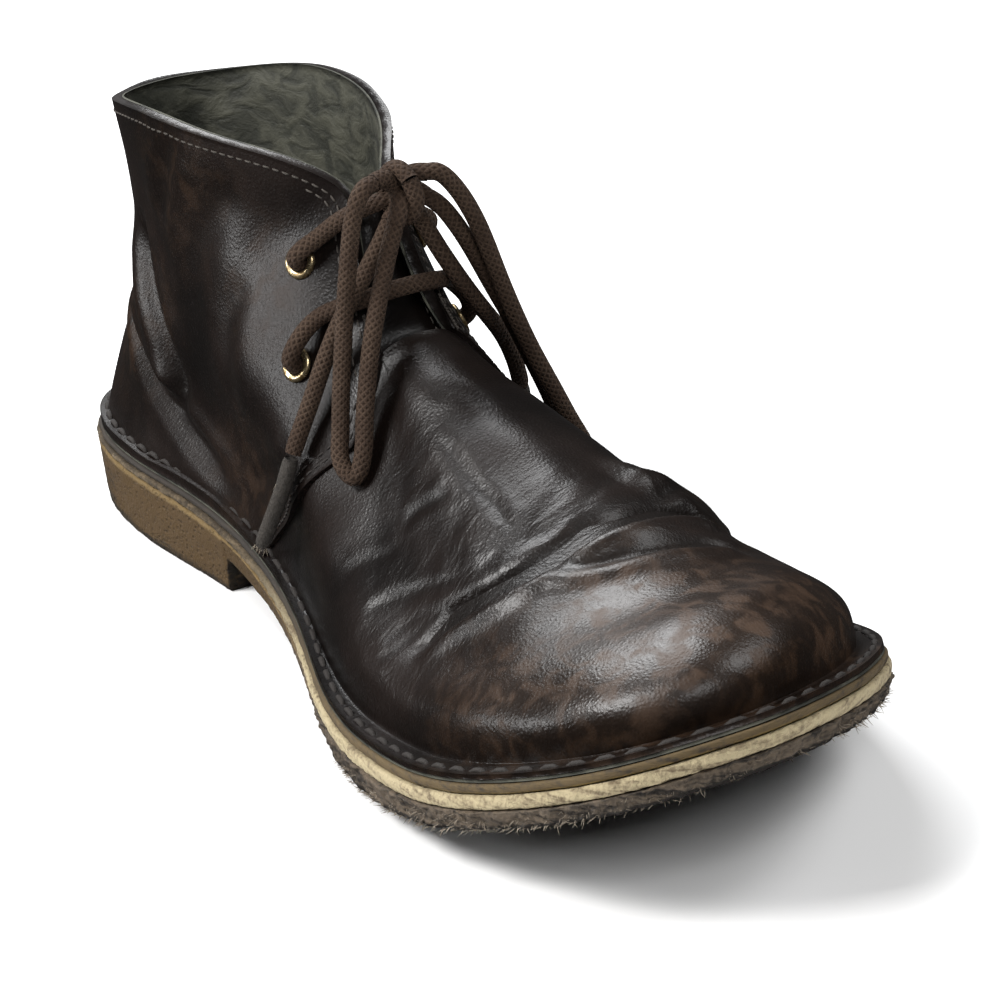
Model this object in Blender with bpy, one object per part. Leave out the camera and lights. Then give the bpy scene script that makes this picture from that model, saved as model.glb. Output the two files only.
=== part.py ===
"""Chukka boot for the left foot, in metres, toe towards -Y, outer side +X, ground at Z 0.

A stitched-down boot: the lower edge of the upper turns outwards and is sewn to a tan welt layer,
with a cream midsole and a crepe outsole below it. Two rows of eyelets close it over the tongue.
"""

import bmesh
import bpy
import numpy as np
from mathutils import Matrix, Vector

MM = 0.001

# Driving sizes
LENGTH = 0.302
BALL_WIDTH = 0.112
HEEL_HEIGHT = 0.0183
OUTSOLE_THICKNESS = 0.0065
OUTSOLE_TOE = 0.0042
SOLE_TAPER = 0.0012
TOE_SPRING = 0.032
MIDSOLE_HEEL = 0.0014
MIDSOLE_TOE = 0.0032
WELT_HEEL = 0.0014
WELT_TOE = 0.0022
EDGE_MARGIN = 0.0014
FLANGE_WIDTH = 0.0078
WALL = 0.0018
QUARTER_STEP = 0.0013
FEATHER_RADIUS = 0.003
SHAFT_HEIGHT = 0.114
SHAFT_LEAN = 0.0025
GAP = 0.0003
INSOLE_THICKNESS = 0.0025
INSOLE_EASE = 0.0008
TONGUE_THICKNESS = 0.002
EYELET_FLANGE = 0.0042
EYELET_BARREL = 0.0030
EYELET_BORE = 0.0022
EYELET_THICKNESS = 0.0007
EYELET_SEAT = 0.0004
LACE_RADIUS = 0.0021

# Where the sole touches and leaves the ground, as shares of the length from the back of the heel
BREAST = 0.315
HEEL_FALL = (0.20, 0.575)
SPRING_START = 0.625
SPRING_CURVE = 1.8
TOE_WEAR = (0.68, 0.93)
LAYER_CHANGE = (0.1, 0.7)
RIDGE_FOLLOWS = (0.45, 0.75)

# Outsole outline: share of the length, then inner and outer half widths as shares of the ball width
OUTLINE = (
    # station, medial, lateral
    (0.02, -0.152, 0.138),
    (0.06, -0.227, 0.232),
    (0.12, -0.266, 0.295),
    (0.20, -0.273, 0.321),
    (0.30, -0.255, 0.339),
    (0.40, -0.271, 0.366),
    (0.50, -0.338, 0.411),
    (0.60, -0.433, 0.464),
    (0.66, -0.471, 0.495),
    (0.72, -0.492, 0.505),
    (0.78, -0.504, 0.493),
    (0.84, -0.490, 0.459),
    (0.89, -0.453, 0.394),
    (0.93, -0.407, 0.292),
    (0.965, -0.338, 0.164),
    (0.99, -0.220, 0.018),
)
HEEL_TIP = -0.009
TOE_TIP = -0.112

# The upper goes round from the back of the heel to the toe, each row at a share of that way.
# Across is a share of half the ball width from the boot's middle, along a share of the length
# from the heel, up a share of the shaft's height. The wall row gives inset from the outline instead.
SECTIONS = (
    # round, flange, wall inset, wall up, side (across, along, up), crown (across, along, up)
    (0.0, 0.68, 0.092, 0.150, (0.00, 0.066, 0.51), (0.00, 0.093, 0.74)),
    (0.1, 0.70, 0.100, 0.150, (0.255, 0.109, 0.53), (0.25, 0.128, 0.75)),
    (0.2, 0.66, 0.094, 0.150, (0.365, 0.182, 0.54), (0.355, 0.189, 0.77)),
    (0.3, 0.60, 0.081, 0.150, (0.41, 0.288, 0.54), (0.39, 0.275, 0.79)),
    (0.4, 0.54, 0.068, 0.150, (0.44, 0.387, 0.52), (0.33, 0.374, 0.76)),
    (0.5, 0.62, 0.064, 0.125, (0.47, 0.487, 0.44), (0.24, 0.467, 0.65)),
    (0.6, 0.80, 0.072, 0.105, (0.59, 0.593, 0.34), (0.29, 0.546, 0.530)),
    (0.7, 0.95, 0.083, 0.085, (0.675, 0.705, 0.30), (0.38, 0.626, 0.472)),
    (0.8, 1.00, 0.090, 0.085, (0.595, 0.810, 0.37), (0.36, 0.705, 0.460)),
    (0.9, 1.00, 0.094, 0.085, (0.355, 0.880, 0.44), (0.19, 0.765, 0.470)),
    (1.0, 1.00, 0.092, 0.085, (0.00, 0.904, 0.480), (0.00, 0.791, 0.475)),
)
TOPLINE = (
    # round, across, along, up
    (0.00, 0.00, 0.095, 0.995),
    (0.10, 0.275, 0.120, 1.005),
    (0.20, 0.41, 0.184, 1.035),
    (0.29, 0.42, 0.268, 1.045),
    (0.345, 0.33, 0.341, 1.030),
    (0.375, 0.19, 0.394, 1.005),
    (0.395, 0.085, 0.424, 0.965),
    (0.420, 0.070, 0.440, 0.900),
    (0.46, 0.095, 0.455, 0.795),
    (0.51, 0.135, 0.476, 0.695),
    (0.545, 0.160, 0.489, 0.655),
    (0.58, 0.155, 0.493, 0.650),
    (0.70, 0.105, 0.497, 0.664),
    (0.85, 0.050, 0.500, 0.672),
    (1.00, 0.00, 0.501, 0.674),
)
# The quarter's front seam: height along the wall, and how far round it lies there
SEAM = ((0.0, 0.388), (0.28, 0.470), (0.49, 0.528), (0.58, 0.548), (1.0, 0.555))
CORNER = 0.395
# Each eyelet's place on the quarter: turn round the boot and height along the wall
EYELETS = {"upper": (0.423, 0.835), "lower": (0.464, 0.600)}
# The tongue's rows from its top down. Its borders lie on the quarters' or the vamp's inner face, at
# this turn on both sides. Its ridge lies between the two edges at the ridge's turn and height.
TONGUE_ROWS = (
    # turn, height of its border, turn and height of its ridge, bulge of the ridge, clearance
    (0.408, 0.82, 0.408, 1.000, 0.0006, 0.0015),
    (0.430, 0.82, 0.430, 1.000, 0.0008, 0.0015),
    (0.460, 0.82, 0.460, 1.000, 0.0008, 0.0015),
    (0.495, 0.83, 0.495, 1.000, 0.0006, 0.0015),
    (0.530, 0.84, 0.530, 1.000, 0.0000, 0.0018),
    (0.570, 0.85, 1.000, 0.975, 0.0000, 0.0019),
    (0.605, 0.86, 1.000, 0.935, 0.0000, 0.0019),
)
TONGUE_COLUMNS = 11
FORWARD = np.array((0, -0.85, 0.53))  # the way that the throat faces

# How finely the upper is divided, and where its rows and columns crowd
COLUMNS = (15, 9, 15)
STEP_WIDTH = 0.0016  # half the width of the step at the seam, of the way round
WALL_ROWS = 11
ROW_CROWDING = 0.9
FLANGE_STEPS = (1.0, 0.5, 0.0)
FEATHER_STEPS = (0.35, 0.7)
FEATHER_SHARE = 0.7  # the widest feather bend, of the flange
RAIL_SHARES = (0.0, 0.13, 0.42, 0.74, 1.0)
PROBE = 0.004  # spacing of the spots that tell which way a face looks
BREAST_SLOPE = 0.005  # length of the heel's front face, of the length
TIP_SHARE = 0.04  # part of each sole layer's length at either tip that follows its own outline
SHARP_ANGLE = 0.7


def smooth(knots, values, at, period=None):
    """A cubic spline through the values at the knots, natural at its ends or closed on a period."""
    knots, values = np.asarray(knots, float), np.asarray(values, float)
    at, count = np.asarray(at, float), len(knots)
    if period is None:
        step = np.diff(knots)
        rise = np.diff(values, axis=0) / step[:, None]
        system, right = np.eye(count), np.zeros_like(values)
        for i in range(1, count - 1):
            system[i, i - 1:i + 2] = step[i - 1], 2 * (step[i - 1] + step[i]), step[i]
            right[i] = 6 * (rise[i] - rise[i - 1])
        after = np.minimum(np.arange(count) + 1, count - 1)
        where = np.clip(np.searchsorted(knots, at, side="right") - 1, 0, count - 2)
    else:
        step = np.diff(np.r_[knots, knots[0] + period])
        after = (np.arange(count) + 1) % count
        rise = (values[after] - values) / step[:, None]
        system = np.zeros((count, count))
        for i in range(count):
            system[i, i - 1] += step[i - 1]
            system[i, i] += 2 * (step[i - 1] + step[i])
            system[i, after[i]] += step[i]
        right = 6 * (rise - np.roll(rise, 1, axis=0))
        at = (at - knots[0]) % period + knots[0]
        where = np.clip(np.searchsorted(knots, at, side="right") - 1, 0, count - 1)
    bend = np.linalg.solve(system, right)
    here, there = bend[where], bend[after[where]]
    width, run = step[where][:, None], (at - knots[where])[:, None]
    slope = rise[where] - width * (2 * here + there) / 6
    return values[where] + run * slope + run ** 2 * here / 2 + run ** 3 * (there - here) / (6 * width)


def eased(value, low, high):
    """0 below low, 1 above high, with a soft S between."""
    share = np.clip((np.asarray(value, float) - low) / (high - low), 0, 1)
    return share * share * (3 - 2 * share)


def bed(station):
    """Top of the outsole by the share of the length: raised heel, low waist, toe spring."""
    fall = 1 - eased(station, *HEEL_FALL)
    spring = np.clip((np.asarray(station, float) - SPRING_START) / (1 - SPRING_START), 0, 1)
    heel = (HEEL_HEIGHT - OUTSOLE_THICKNESS) * fall
    return OUTSOLE_THICKNESS + heel + TOE_SPRING * spring ** SPRING_CURVE


def thickness(station, heel, toe, change=LAYER_CHANGE):
    """A layer's thickness, from its heel value to its toe value over a part of the length."""
    return heel + (toe - heel) * eased(station, *change)


def tread(station):
    """Underside of the outsole: the heel stands on the ground, the rest follows the bed."""
    crepe = thickness(station, OUTSOLE_THICKNESS, OUTSOLE_TOE, TOE_WEAR)
    return np.where(station <= BREAST, 0, bed(station) - crepe)


def midsole_low(station):
    """Underside of the midsole."""
    return bed(station) + GAP


def midsole_top(station):
    """Top of the midsole, thicker towards the toe."""
    return midsole_low(station) + thickness(station, MIDSOLE_HEEL, MIDSOLE_TOE)


def welt_low(station):
    """Underside of the welt layer."""
    return midsole_top(station) + GAP


def welt_top(station):
    """Top of the welt layer, thicker towards the toe."""
    return welt_low(station) + thickness(station, WELT_HEEL, WELT_TOE)


def seat(station):
    """Where the upper's turned-out edge and the insole lie."""
    return welt_top(station) + GAP


def station_of(along):
    """Share of the length from the back of the heel, from Y."""
    return 0.5 - np.asarray(along) / LENGTH


def outline_knots():
    """The outline's points as one closed curve: heel, inner side, toe, outer side."""
    rows = np.array(OUTLINE)
    along = LENGTH * (0.5 - rows[:, 0])
    inner = np.column_stack((rows[:, 1] * BALL_WIDTH, along))
    outer = np.column_stack((rows[:, 2] * BALL_WIDTH, along))
    heel = [(HEEL_TIP * BALL_WIDTH, LENGTH / 2)]
    toe = [(TOE_TIP * BALL_WIDTH, -LENGTH / 2)]
    return np.vstack((heel, inner, toe, outer[::-1]))


KNOTS = outline_knots()
CHORDS = np.r_[0, np.cumsum(np.linalg.norm(np.diff(np.vstack((KNOTS, KNOTS[:1])), axis=0), axis=1))]
ROUND = CHORDS[-1]
FINE = np.linspace(0, ROUND, 2401)
FINE_POINTS = smooth(CHORDS[:-1], KNOTS, FINE, ROUND)
FINE_LENGTH = np.r_[0, np.cumsum(np.linalg.norm(np.diff(FINE_POINTS, axis=0), axis=1))]
TIP = FINE_LENGTH[np.argmin(FINE_POINTS[:, 1])]


def outline(turn, inset=0.0):
    """The outline at turn (0 heel, 1 toe along the inner side, 2 heel again), moved inwards."""
    turn = np.asarray(turn, float) % 2
    run = np.where(turn <= 1, turn * TIP, TIP + (turn - 1) * (FINE_LENGTH[-1] - TIP))
    at = np.interp(run, FINE_LENGTH, FINE)
    points = smooth(CHORDS[:-1], KNOTS, at, ROUND)
    nudge = ROUND * 1e-4
    way = smooth(CHORDS[:-1], KNOTS, at + nudge, ROUND) - smooth(CHORDS[:-1], KNOTS, at - nudge, ROUND)
    way /= np.linalg.norm(way, axis=1)[:, None]
    inward = np.column_stack((-way[:, 1], way[:, 0]))
    return points + inward * np.asarray(inset).reshape(-1, 1)


def both_sides(rows):
    """Turns for rows given from heel to toe, mirrored to the outer side."""
    turns = np.array([row[0] for row in rows])
    return np.r_[turns, 2 - turns[-2:0:-1]], np.r_[np.arange(len(rows)), np.arange(len(rows) - 2, 0, -1)]


def middle(station):
    """X of the boot's middle line: halfway between the two sides of the outline."""
    rows = np.array(OUTLINE)
    half = (rows[:, 1] + rows[:, 2]) / 2 * BALL_WIDTH
    knots = np.r_[0, rows[:, 0], 1]
    return np.interp(station, knots, np.r_[HEEL_TIP * BALL_WIDTH, half, TOE_TIP * BALL_WIDTH])


def placed(turns, across, along, up):
    """Points from shares of half the ball width, the length and the shaft's height."""
    side = np.where(turns <= 1, -1.0, 1.0)
    y = LENGTH * (0.5 - along)
    ridge = middle(along) * eased(along, *RIDGE_FOLLOWS) + SHAFT_LEAN * up
    return np.column_stack((ridge + side * across * BALL_WIDTH / 2, y, up * SHAFT_HEIGHT))


def rails(turn):
    """The upper's inner face at the given turns: feather, wall, side, crown and edge, as points."""
    turns, pick = both_sides(SECTIONS)
    rows = [SECTIONS[i] for i in pick]
    flange = smooth(turns, [[row[1]] for row in rows], turn, 2)[:, 0] * FLANGE_WIDTH
    base = outline(turn, EDGE_MARGIN + flange)
    fillet = np.minimum(FEATHER_RADIUS, FEATHER_SHARE * flange)
    feather = np.column_stack((base, seat(station_of(base[:, 1])) + fillet))
    wall_inset = np.array([row[2] for row in rows]) * BALL_WIDTH
    wall_base = outline(turns, wall_inset)
    wall_up = seat(station_of(wall_base[:, 1])) + np.array([row[3] for row in rows]) * SHAFT_HEIGHT
    wall = smooth(turns, np.column_stack((wall_base, wall_up)), turn, 2)
    side = smooth(turns, placed(turns, *np.array([row[4] for row in rows]).T), turn, 2)
    crown = smooth(turns, placed(turns, *np.array([row[5] for row in rows]).T), turn, 2)
    turns, pick = both_sides(TOPLINE)
    top = np.array([TOPLINE[i] for i in pick])
    edge = smooth(turns, placed(turns, top[:, 1], top[:, 2], top[:, 3]), turn, 2)
    return flange, fillet, np.stack((feather, wall, side, crown, edge))


def wall_surface(turn, height):
    """The inner face of the upper: turn round the boot, height from the feather to the top edge."""
    turn, height = np.broadcast_arrays(np.asarray(turn, float), np.asarray(height, float))
    shape, turn, height = turn.shape, turn.ravel(), height.ravel()
    points = rails(turn)[2]
    blend = smooth(RAIL_SHARES, np.eye(5), height)
    return np.einsum("nk,knd->nd", blend, points).reshape(shape + (3,))


def seam_turn(height):
    """How far round the quarter's front seam lies at a height on the wall."""
    table = np.array(SEAM)
    return np.interp(height, table[:, 0], table[:, 1])


def warped(share, height):
    """Column share to turn on the inner side, so that one column follows the seam."""
    seam = seam_turn(height)
    mark = SEAM[-1][1]
    return np.where(share <= mark, share / mark * seam, 1 - (1 - share) / (1 - mark) * (1 - seam))


def columns():
    """Column shares round the boot and whether each lies on the quarters."""
    mark = SEAM[-1][1]
    inner = np.concatenate((
        np.linspace(0, CORNER, COLUMNS[0])[:-1],
        np.linspace(CORNER, mark - STEP_WIDTH, COLUMNS[1]),
        np.linspace(mark + STEP_WIDTH, 1, COLUMNS[2]),
    ))
    quarter = inner < mark
    shares = np.r_[inner, 2 - inner[-2:0:-1]]
    return shares, np.r_[quarter, quarter[-2:0:-1]]


def turned(shares, height):
    """Turns of the columns at a height, with the outer side mirrored from the inner."""
    inner = warped(np.where(shares <= 1, shares, 2 - shares), height)
    return np.where(shares <= 1, inner, 2 - inner)


def upper_skins():
    """Inner and outer faces of the upper as two grids of points, flange first."""
    shares, quarter = columns()
    low = turned(shares, 0.0)
    flange, fillet, _ = rails(low)
    rows = []
    for out in FLANGE_STEPS:
        spot = outline(low, EDGE_MARGIN + (flange - fillet) * (1 - out))
        rows.append(np.column_stack((spot, seat(station_of(spot[:, 1])))))
    heights = np.linspace(0, 1, WALL_ROWS) ** ROW_CROWDING
    wall = [wall_surface(turned(shares, h), h) for h in heights]
    start, finish = rows[-1], wall[0]
    flat = finish - start
    flat[:, 2] = 0
    for t in FEATHER_STEPS:
        rows.append((1 - t) ** 2 * start + 2 * t * (1 - t) * (start + flat) + t * t * finish)
    inner = np.array(rows + wall)
    along = np.roll(inner, -1, axis=1) - np.roll(inner, 1, axis=1)
    rise = np.gradient(inner, axis=0)
    normal = np.cross(along, rise)
    normal /= np.linalg.norm(normal, axis=2)[:, :, None]
    depth = WALL + QUARTER_STEP * quarter
    return inner, inner + normal * depth[None, :, None]


def material(name, colour, roughness, metallic=0.0):
    """A plain material with its own shader."""
    made = bpy.data.materials.new(name)
    made.use_nodes = True
    shader = made.node_tree.nodes["Principled BSDF"]
    shader.inputs["Base Color"].default_value = (*colour, 1)
    shader.inputs["Roughness"].default_value = roughness
    shader.inputs["Metallic"].default_value = metallic
    made.diffuse_color = (*colour, 1)
    return made


def object_from(name, points, faces, finish):
    """A closed body from points and faces, doubles merged and normals outwards."""
    mesh = bpy.data.meshes.new(name)
    mesh.from_pydata([tuple(p) for p in points], [], faces)
    shape = bmesh.new()
    shape.from_mesh(mesh)
    bmesh.ops.remove_doubles(shape, verts=shape.verts, dist=1e-6)
    bmesh.ops.dissolve_degenerate(shape, edges=shape.edges, dist=1e-6)
    bmesh.ops.triangulate(shape, faces=shape.faces)
    bmesh.ops.recalc_face_normals(shape, faces=shape.faces)
    shape.to_mesh(mesh)
    shape.free()
    mesh.shade_smooth()
    mesh.set_sharp_from_angle(angle=SHARP_ANGLE)
    mesh.materials.append(finish)
    made = bpy.data.objects.new(name, mesh)
    bpy.context.scene.collection.objects.link(made)
    return made


def shell(name, inner, outer, finish, closed):
    """One solid between two grids of points of the same shape."""
    rows, cols = inner.shape[:2]
    back = rows * cols
    points = np.vstack((inner.reshape(-1, 3), outer.reshape(-1, 3)))
    spans = range(cols if closed else cols - 1)

    def at(row, col):
        return row * cols + col % cols

    faces = []
    for j in spans:
        for i in range(rows - 1):
            quad = (at(i, j), at(i, j + 1), at(i + 1, j + 1), at(i + 1, j))
            faces += [quad[::-1], tuple(back + v for v in quad)]
        for i, flip in ((0, 1), (rows - 1, -1)):
            rim = (at(i, j), at(i, j + 1), back + at(i, j + 1), back + at(i, j))
            faces.append(rim[::flip])
    if not closed:
        for j, flip in ((0, -1), (cols - 1, 1)):
            for i in range(rows - 1):
                rim = (at(i, j), at(i + 1, j), back + at(i + 1, j), back + at(i, j))
                faces.append(rim[::flip])
    return object_from(name, points, faces, finish)


def slab(name, inset, taper, low, high, marks, finish, rows=38, cols=4):
    """A sole layer between two levels: the outline moved in by the inset, more at the lower edge."""
    around = np.linspace(0, 2, 1201)
    inset = np.broadcast_to(inset(around) if callable(inset) else inset, around.shape)
    levels = [(level, outline(around, inset + extra)) for level, extra in ((high, 0.0), (low, taper))]
    top = levels[0][1]
    front, rear = top[:, 1].min(), top[:, 1].max()
    stations = (rear + front) / 2 + (rear - front) / 2 * np.cos(np.linspace(0, np.pi, rows))
    stations = np.sort(np.r_[stations, [LENGTH * (0.5 - mark) for mark in marks]])[::-1]
    across = np.linspace(0, 1, cols)
    grids = []
    for level, edge in levels:
        nose, back = np.argmin(edge[:, 1]), np.argmax(edge[:, 1])
        if back > nose:
            edge, nose = np.roll(edge[:-1], -back, axis=0), (nose - back) % (len(edge) - 1)
        inner, outer = edge[:nose + 1], edge[nose:]
        reach = (stations - front) / (rear - front)
        y = edge[:, 1].min() + reach * (edge[:, 1].max() - edge[:, 1].min())
        y = np.where((reach > TIP_SHARE) & (reach < 1 - TIP_SHARE), stations, y)
        left = np.interp(y, inner[::-1, 1], inner[::-1, 0])
        right = np.interp(y, outer[:, 1], outer[:, 0])
        x = left[:, None] + (right - left)[:, None] * across
        z = np.broadcast_to(level(station_of(y))[:, None], x.shape)
        grids.append(np.stack((x, np.broadcast_to(y[:, None], x.shape), z), axis=2))
    return shell(name, grids[1], grids[0], finish, closed=False)


def outer_place(turn, height, lift):
    """A point above the quarter's outer face and the direction that the face looks."""
    spots = wall_surface(turn + PROBE * np.array((0, 1, 0, -1, 0)),
                         height + PROBE * np.array((0, 0, 1, 0, -1)))
    facing = np.cross(spots[1] - spots[3], spots[2] - spots[4])
    facing /= np.linalg.norm(facing)
    return spots[0] + facing * (WALL + QUARTER_STEP + lift), facing


def tongue_skins():
    """The tongue: each row is a parabola from border over ridge to border, moved in by its clearance."""
    across = np.linspace(-1, 1, TONGUE_COLUMNS)[:, None]
    rows = []
    for turn, height, ridge_turn, ridge_height, bulge, _ in TONGUE_ROWS:
        inner, outer = wall_surface(turn, height), wall_surface(2 - turn, height)
        ridge = (wall_surface(ridge_turn, ridge_height) + wall_surface(2 - ridge_turn, ridge_height)) / 2
        ridge += bulge * FORWARD
        rows.append(ridge + (outer - inner) / 2 * across + ((outer + inner) / 2 - ridge) * across ** 2)
    face = np.array(rows)
    down, over = np.gradient(face, axis=0), np.gradient(face, axis=1)
    inward = np.cross(down, over)
    inward /= np.linalg.norm(inward, axis=2)[:, :, None]
    inward *= np.sign(inward[:, :, 1:2].mean()) or 1.0
    top = face + inward * np.array(TONGUE_ROWS)[:, -1, None, None]
    return top + inward * TONGUE_THICKNESS, top


def turned_ring(name, profile, centre, facing, finish, sides=14):
    """A closed profile of (radius, height) turned about the facing axis."""
    spin = Vector((0, 0, 1)).rotation_difference(Vector(facing)).to_matrix()
    angles = np.linspace(0, 2 * np.pi, sides, endpoint=False)
    radius, height = np.array(profile).T
    ring = np.stack((np.outer(np.cos(angles), radius), np.outer(np.sin(angles), radius),
                     np.tile(height, (sides, 1))), axis=2)
    points = ring.reshape(-1, 3) @ np.array(spin).T + centre
    count = len(profile)
    faces = [(i * count + j, (i + 1) % sides * count + j,
              (i + 1) % sides * count + (j + 1) % count, i * count + (j + 1) % count)
             for i in range(sides) for j in range(count)]
    return object_from(name, points, faces, finish)


def hidden_punch(name, centre, facing, radius, length, sides=14):
    """A solid cylinder through the centre that cuts one hole and is not shown."""
    spin = Vector((0, 0, 1)).rotation_difference(Vector(facing)).to_matrix().to_4x4()
    bar = bmesh.new()
    bmesh.ops.create_cone(bar, cap_ends=True, segments=sides, radius1=radius, radius2=radius,
                          depth=length, matrix=Matrix.Translation(Vector(centre)) @ spin)
    mesh = bpy.data.meshes.new(name)
    bar.to_mesh(mesh)
    bar.free()
    cutter = bpy.data.objects.new(name, mesh)
    bpy.context.scene.collection.objects.link(cutter)
    cutter.hide_render = True
    cutter.display_type = "WIRE"
    return cutter


def cord(name, route, radius, finish, spacing, resolution=2):
    """A round cord along a smooth curve through the route's points, in millimetres."""
    route = np.array(route) * MM
    knots = np.r_[0, np.cumsum(np.linalg.norm(np.diff(route, axis=0), axis=1))]
    points = smooth(knots, route, np.linspace(0, knots[-1], max(3, round(knots[-1] / spacing) + 1)))
    curve = bpy.data.curves.new(name, "CURVE")
    curve.dimensions = "3D"
    curve.bevel_depth = radius
    curve.bevel_resolution = resolution
    curve.use_fill_caps = True
    line = curve.splines.new("POLY")
    line.points.add(len(points) - 1)
    for spot, place in zip(line.points, points):
        spot.co = (*place, 1)
    curve.materials.append(finish)
    made = bpy.data.objects.new(name, curve)
    bpy.context.scene.collection.objects.link(made)
    return made


def insole_inset(turn):
    """The insole's edge lies just inside the upper's turned-out edge."""
    return EDGE_MARGIN + rails(turn)[0] + INSOLE_EASE


for old in list(bpy.data.objects):
    bpy.data.objects.remove(old)

crepe = material("crepe", (0.33, 0.22, 0.09), 0.75)
cream = material("cream_layer", (0.62, 0.55, 0.42), 0.8)
tan = material("tan_layer", (0.36, 0.25, 0.15), 0.8)
leather = material("brown_leather", (0.045, 0.022, 0.015), 0.4)
lining = material("grey_lining", (0.12, 0.11, 0.09), 0.8)

# The sole from the ground up, the insole last
outsole = slab("outsole", 0, SOLE_TAPER, tread, bed,
               (BREAST, BREAST + BREAST_SLOPE, HEEL_FALL[1], SPRING_START), crepe)
midsole = slab("midsole", 0, 0, midsole_low, midsole_top, (), cream)
welt = slab("welt", EDGE_MARGIN / 2, 0, welt_low, welt_top, (), tan)

insole = slab("insole", insole_inset, 0, seat, lambda s: seat(s) + INSOLE_THICKNESS, (), lining,
              rows=32)

# The upper: vamp and quarters as one wall, thicker by a step where the quarters lie on top
inner_skin, outer_skin = upper_skins()
upper = shell("upper", inner_skin, outer_skin, leather, closed=True)

# The tongue under the throat
tongue_inner, tongue_outer = tongue_skins()
tongue = shell("tongue", tongue_inner, tongue_outer, leather, closed=False)

# Four eyelets, each in a hole punched through the quarter
PUNCH_LENGTH = 6  # of the hole's radius
brass = material("antique_brass", (0.45, 0.36, 0.20), 0.35, 0.9)
for row, (turn, height) in EYELETS.items():
    for side, way in (("inner", turn), ("outer", 2 - turn)):
        centre, facing = outer_place(way, height, EYELET_SEAT)
        deep = -(WALL + QUARTER_STEP + EYELET_SEAT)
        profile = (
            (EYELET_BORE, deep), (EYELET_BARREL, deep), (EYELET_BARREL, 0),
            (EYELET_FLANGE, 0), (EYELET_FLANGE - EYELET_THICKNESS / 2, EYELET_THICKNESS),
            (EYELET_BORE + EYELET_THICKNESS / 2, EYELET_THICKNESS), (EYELET_BORE, 0),
        )
        turned_ring(f"eyelet_{row}_{side}", profile, centre, facing, brass)
        hole = EYELET_BARREL + GAP
        punch = hidden_punch(f"punch_{row}_{side}", centre, facing, hole, hole * PUNCH_LENGTH)
        cut = upper.modifiers.new(f"{row}_{side}_hole", "BOOLEAN")
        cut.operation = "DIFFERENCE"
        cut.object = punch

lace_brown = material("waxed_lace", (0.09, 0.05, 0.03), 0.7)

# The lace over the tongue: a bar joins the two eyelets of each row
BARS = {
    # eyelet row: turns and heights that the bar passes over on the quarter, rise of its middle
    "lower": ((0.472, 0.76), (0.484, 0.93), 0.0040),
    "upper": ((0.421, 0.91), (0.420, 0.98), 0.0042),
}
BAR_LIFT = LACE_RADIUS + 0.0009
BAR_SPACING = 0.0032
BAR_END = ((0.0005, 0.0), (0.0020, 0.0007), (0.0030, 0.0030))

for row, (near, edge, bulge) in BARS.items():
    halves = []
    for mirror in (False, True):
        def way_round(turn):
            return 2 - turn if mirror else turn

        centre, facing = outer_place(way_round(EYELETS[row][0]), EYELETS[row][1], EYELET_SEAT)
        stops = [outer_place(way_round(turn), height, BAR_LIFT)[0] for turn, height in (near, edge)]
        lean = stops[0] - centre
        lean -= facing * lean.dot(facing)
        lean /= np.linalg.norm(lean)
        ends = [centre + facing * (EYELET_THICKNESS + up) + lean * out for up, out in BAR_END]
        halves.append(ends + stops)
    arch = (halves[0][-1] + halves[1][-1]) / 2 + bulge * FORWARD
    route = np.array(halves[0] + [arch] + halves[1][::-1])
    cord(f"lace_bar_{row}", route / MM, LACE_RADIUS, lace_brown, BAR_SPACING)

# The bow hangs free: routes in millimetres, from the knot down to each side
LOOP_INNER = (
    (-5.5, 2.4, 115.4), (-9.4, 0.8, 114.9), (-12.1, 0.2, 111.2), (-14.1, 0.2, 103.8),
    (-15.6, 0.4, 95.3), (-17.2, 0.4, 86.1), (-19.6, -1.4, 77.5), (-22.5, -4.2, 68.6),
    (-25.0, -7.0, 61.1), (-26.1, -10.0, 55.2), (-25.1, -12.4, 53.7), (-23.0, -12.8, 57.1),
    (-20.3, -10.4, 64.2), (-17.2, -7.6, 72.3), (-13.6, -5.2, 81.9), (-9.4, -2.8, 90.7),
    (-5.7, -1.4, 99.0), (-2.1, -0.2, 106.1),
)
END_INNER = (
    (-0.1, 6.2, 104.3), (-2.6, 5.8, 100.8), (-6.1, 5.4, 96.5), (-9.8, 5.2, 91.8),
    (-14.0, 5.3, 86.4), (-17.5, 6.0, 80.2), (-20.8, 6.4, 73.9), (-24.0, 6.6, 67.3),
    (-27.3, 6.9, 60.7), (-30.3, 7.0, 54.7),
)
AGLET_INNER = (
    (-30.7, 7.2, 53.6), (-32.9, 8.8, 46.1), (-34.6, 12.6, 37.7), (-36.1, 16.4, 29.9),
)
LOOP_OUTER = (
    (8.3, 3.2, 114.7), (10.6, 2.4, 114.6), (13.6, 1.8, 112.1), (16.6, 1.0, 107.3),
    (20.2, 0.0, 98.5), (23.1, -1.0, 88.3), (26.0, -2.0, 78.6), (29.9, -3.0, 67.7),
    (35.0, -3.5, 56.3), (39.9, -3.0, 46.2), (45.0, -0.6, 37.2), (47.1, 3.8, 33.8),
    (43.6, 5.5, 40.6), (38.4, 4.6, 52.2), (33.0, 3.4, 64.0), (28.3, 3.0, 74.6),
    (23.6, 3.2, 84.5), (19.3, 3.6, 93.9), (15.2, 4.4, 101.7), (11.6, 5.2, 106.5),
    (9.3, 5.9, 108.4),
)
END_OUTER = (
    (7.6, 8.9, 104.9), (9.3, 9.1, 102.4), (11.1, 7.4, 97.7), (13.9, 5.0, 90.9),
    (18.5, 4.6, 82.9), (25.2, 7.6, 74.1), (31.6, 11.4, 65.3), (35.5, 13.8, 56.8),
    (37.8, 16.2, 51.2),
)
AGLET_OUTER = (
    (38.0, 16.4, 50.8), (40.8, 19.8, 42.2), (42.8, 23.0, 34.4),
)
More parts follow.
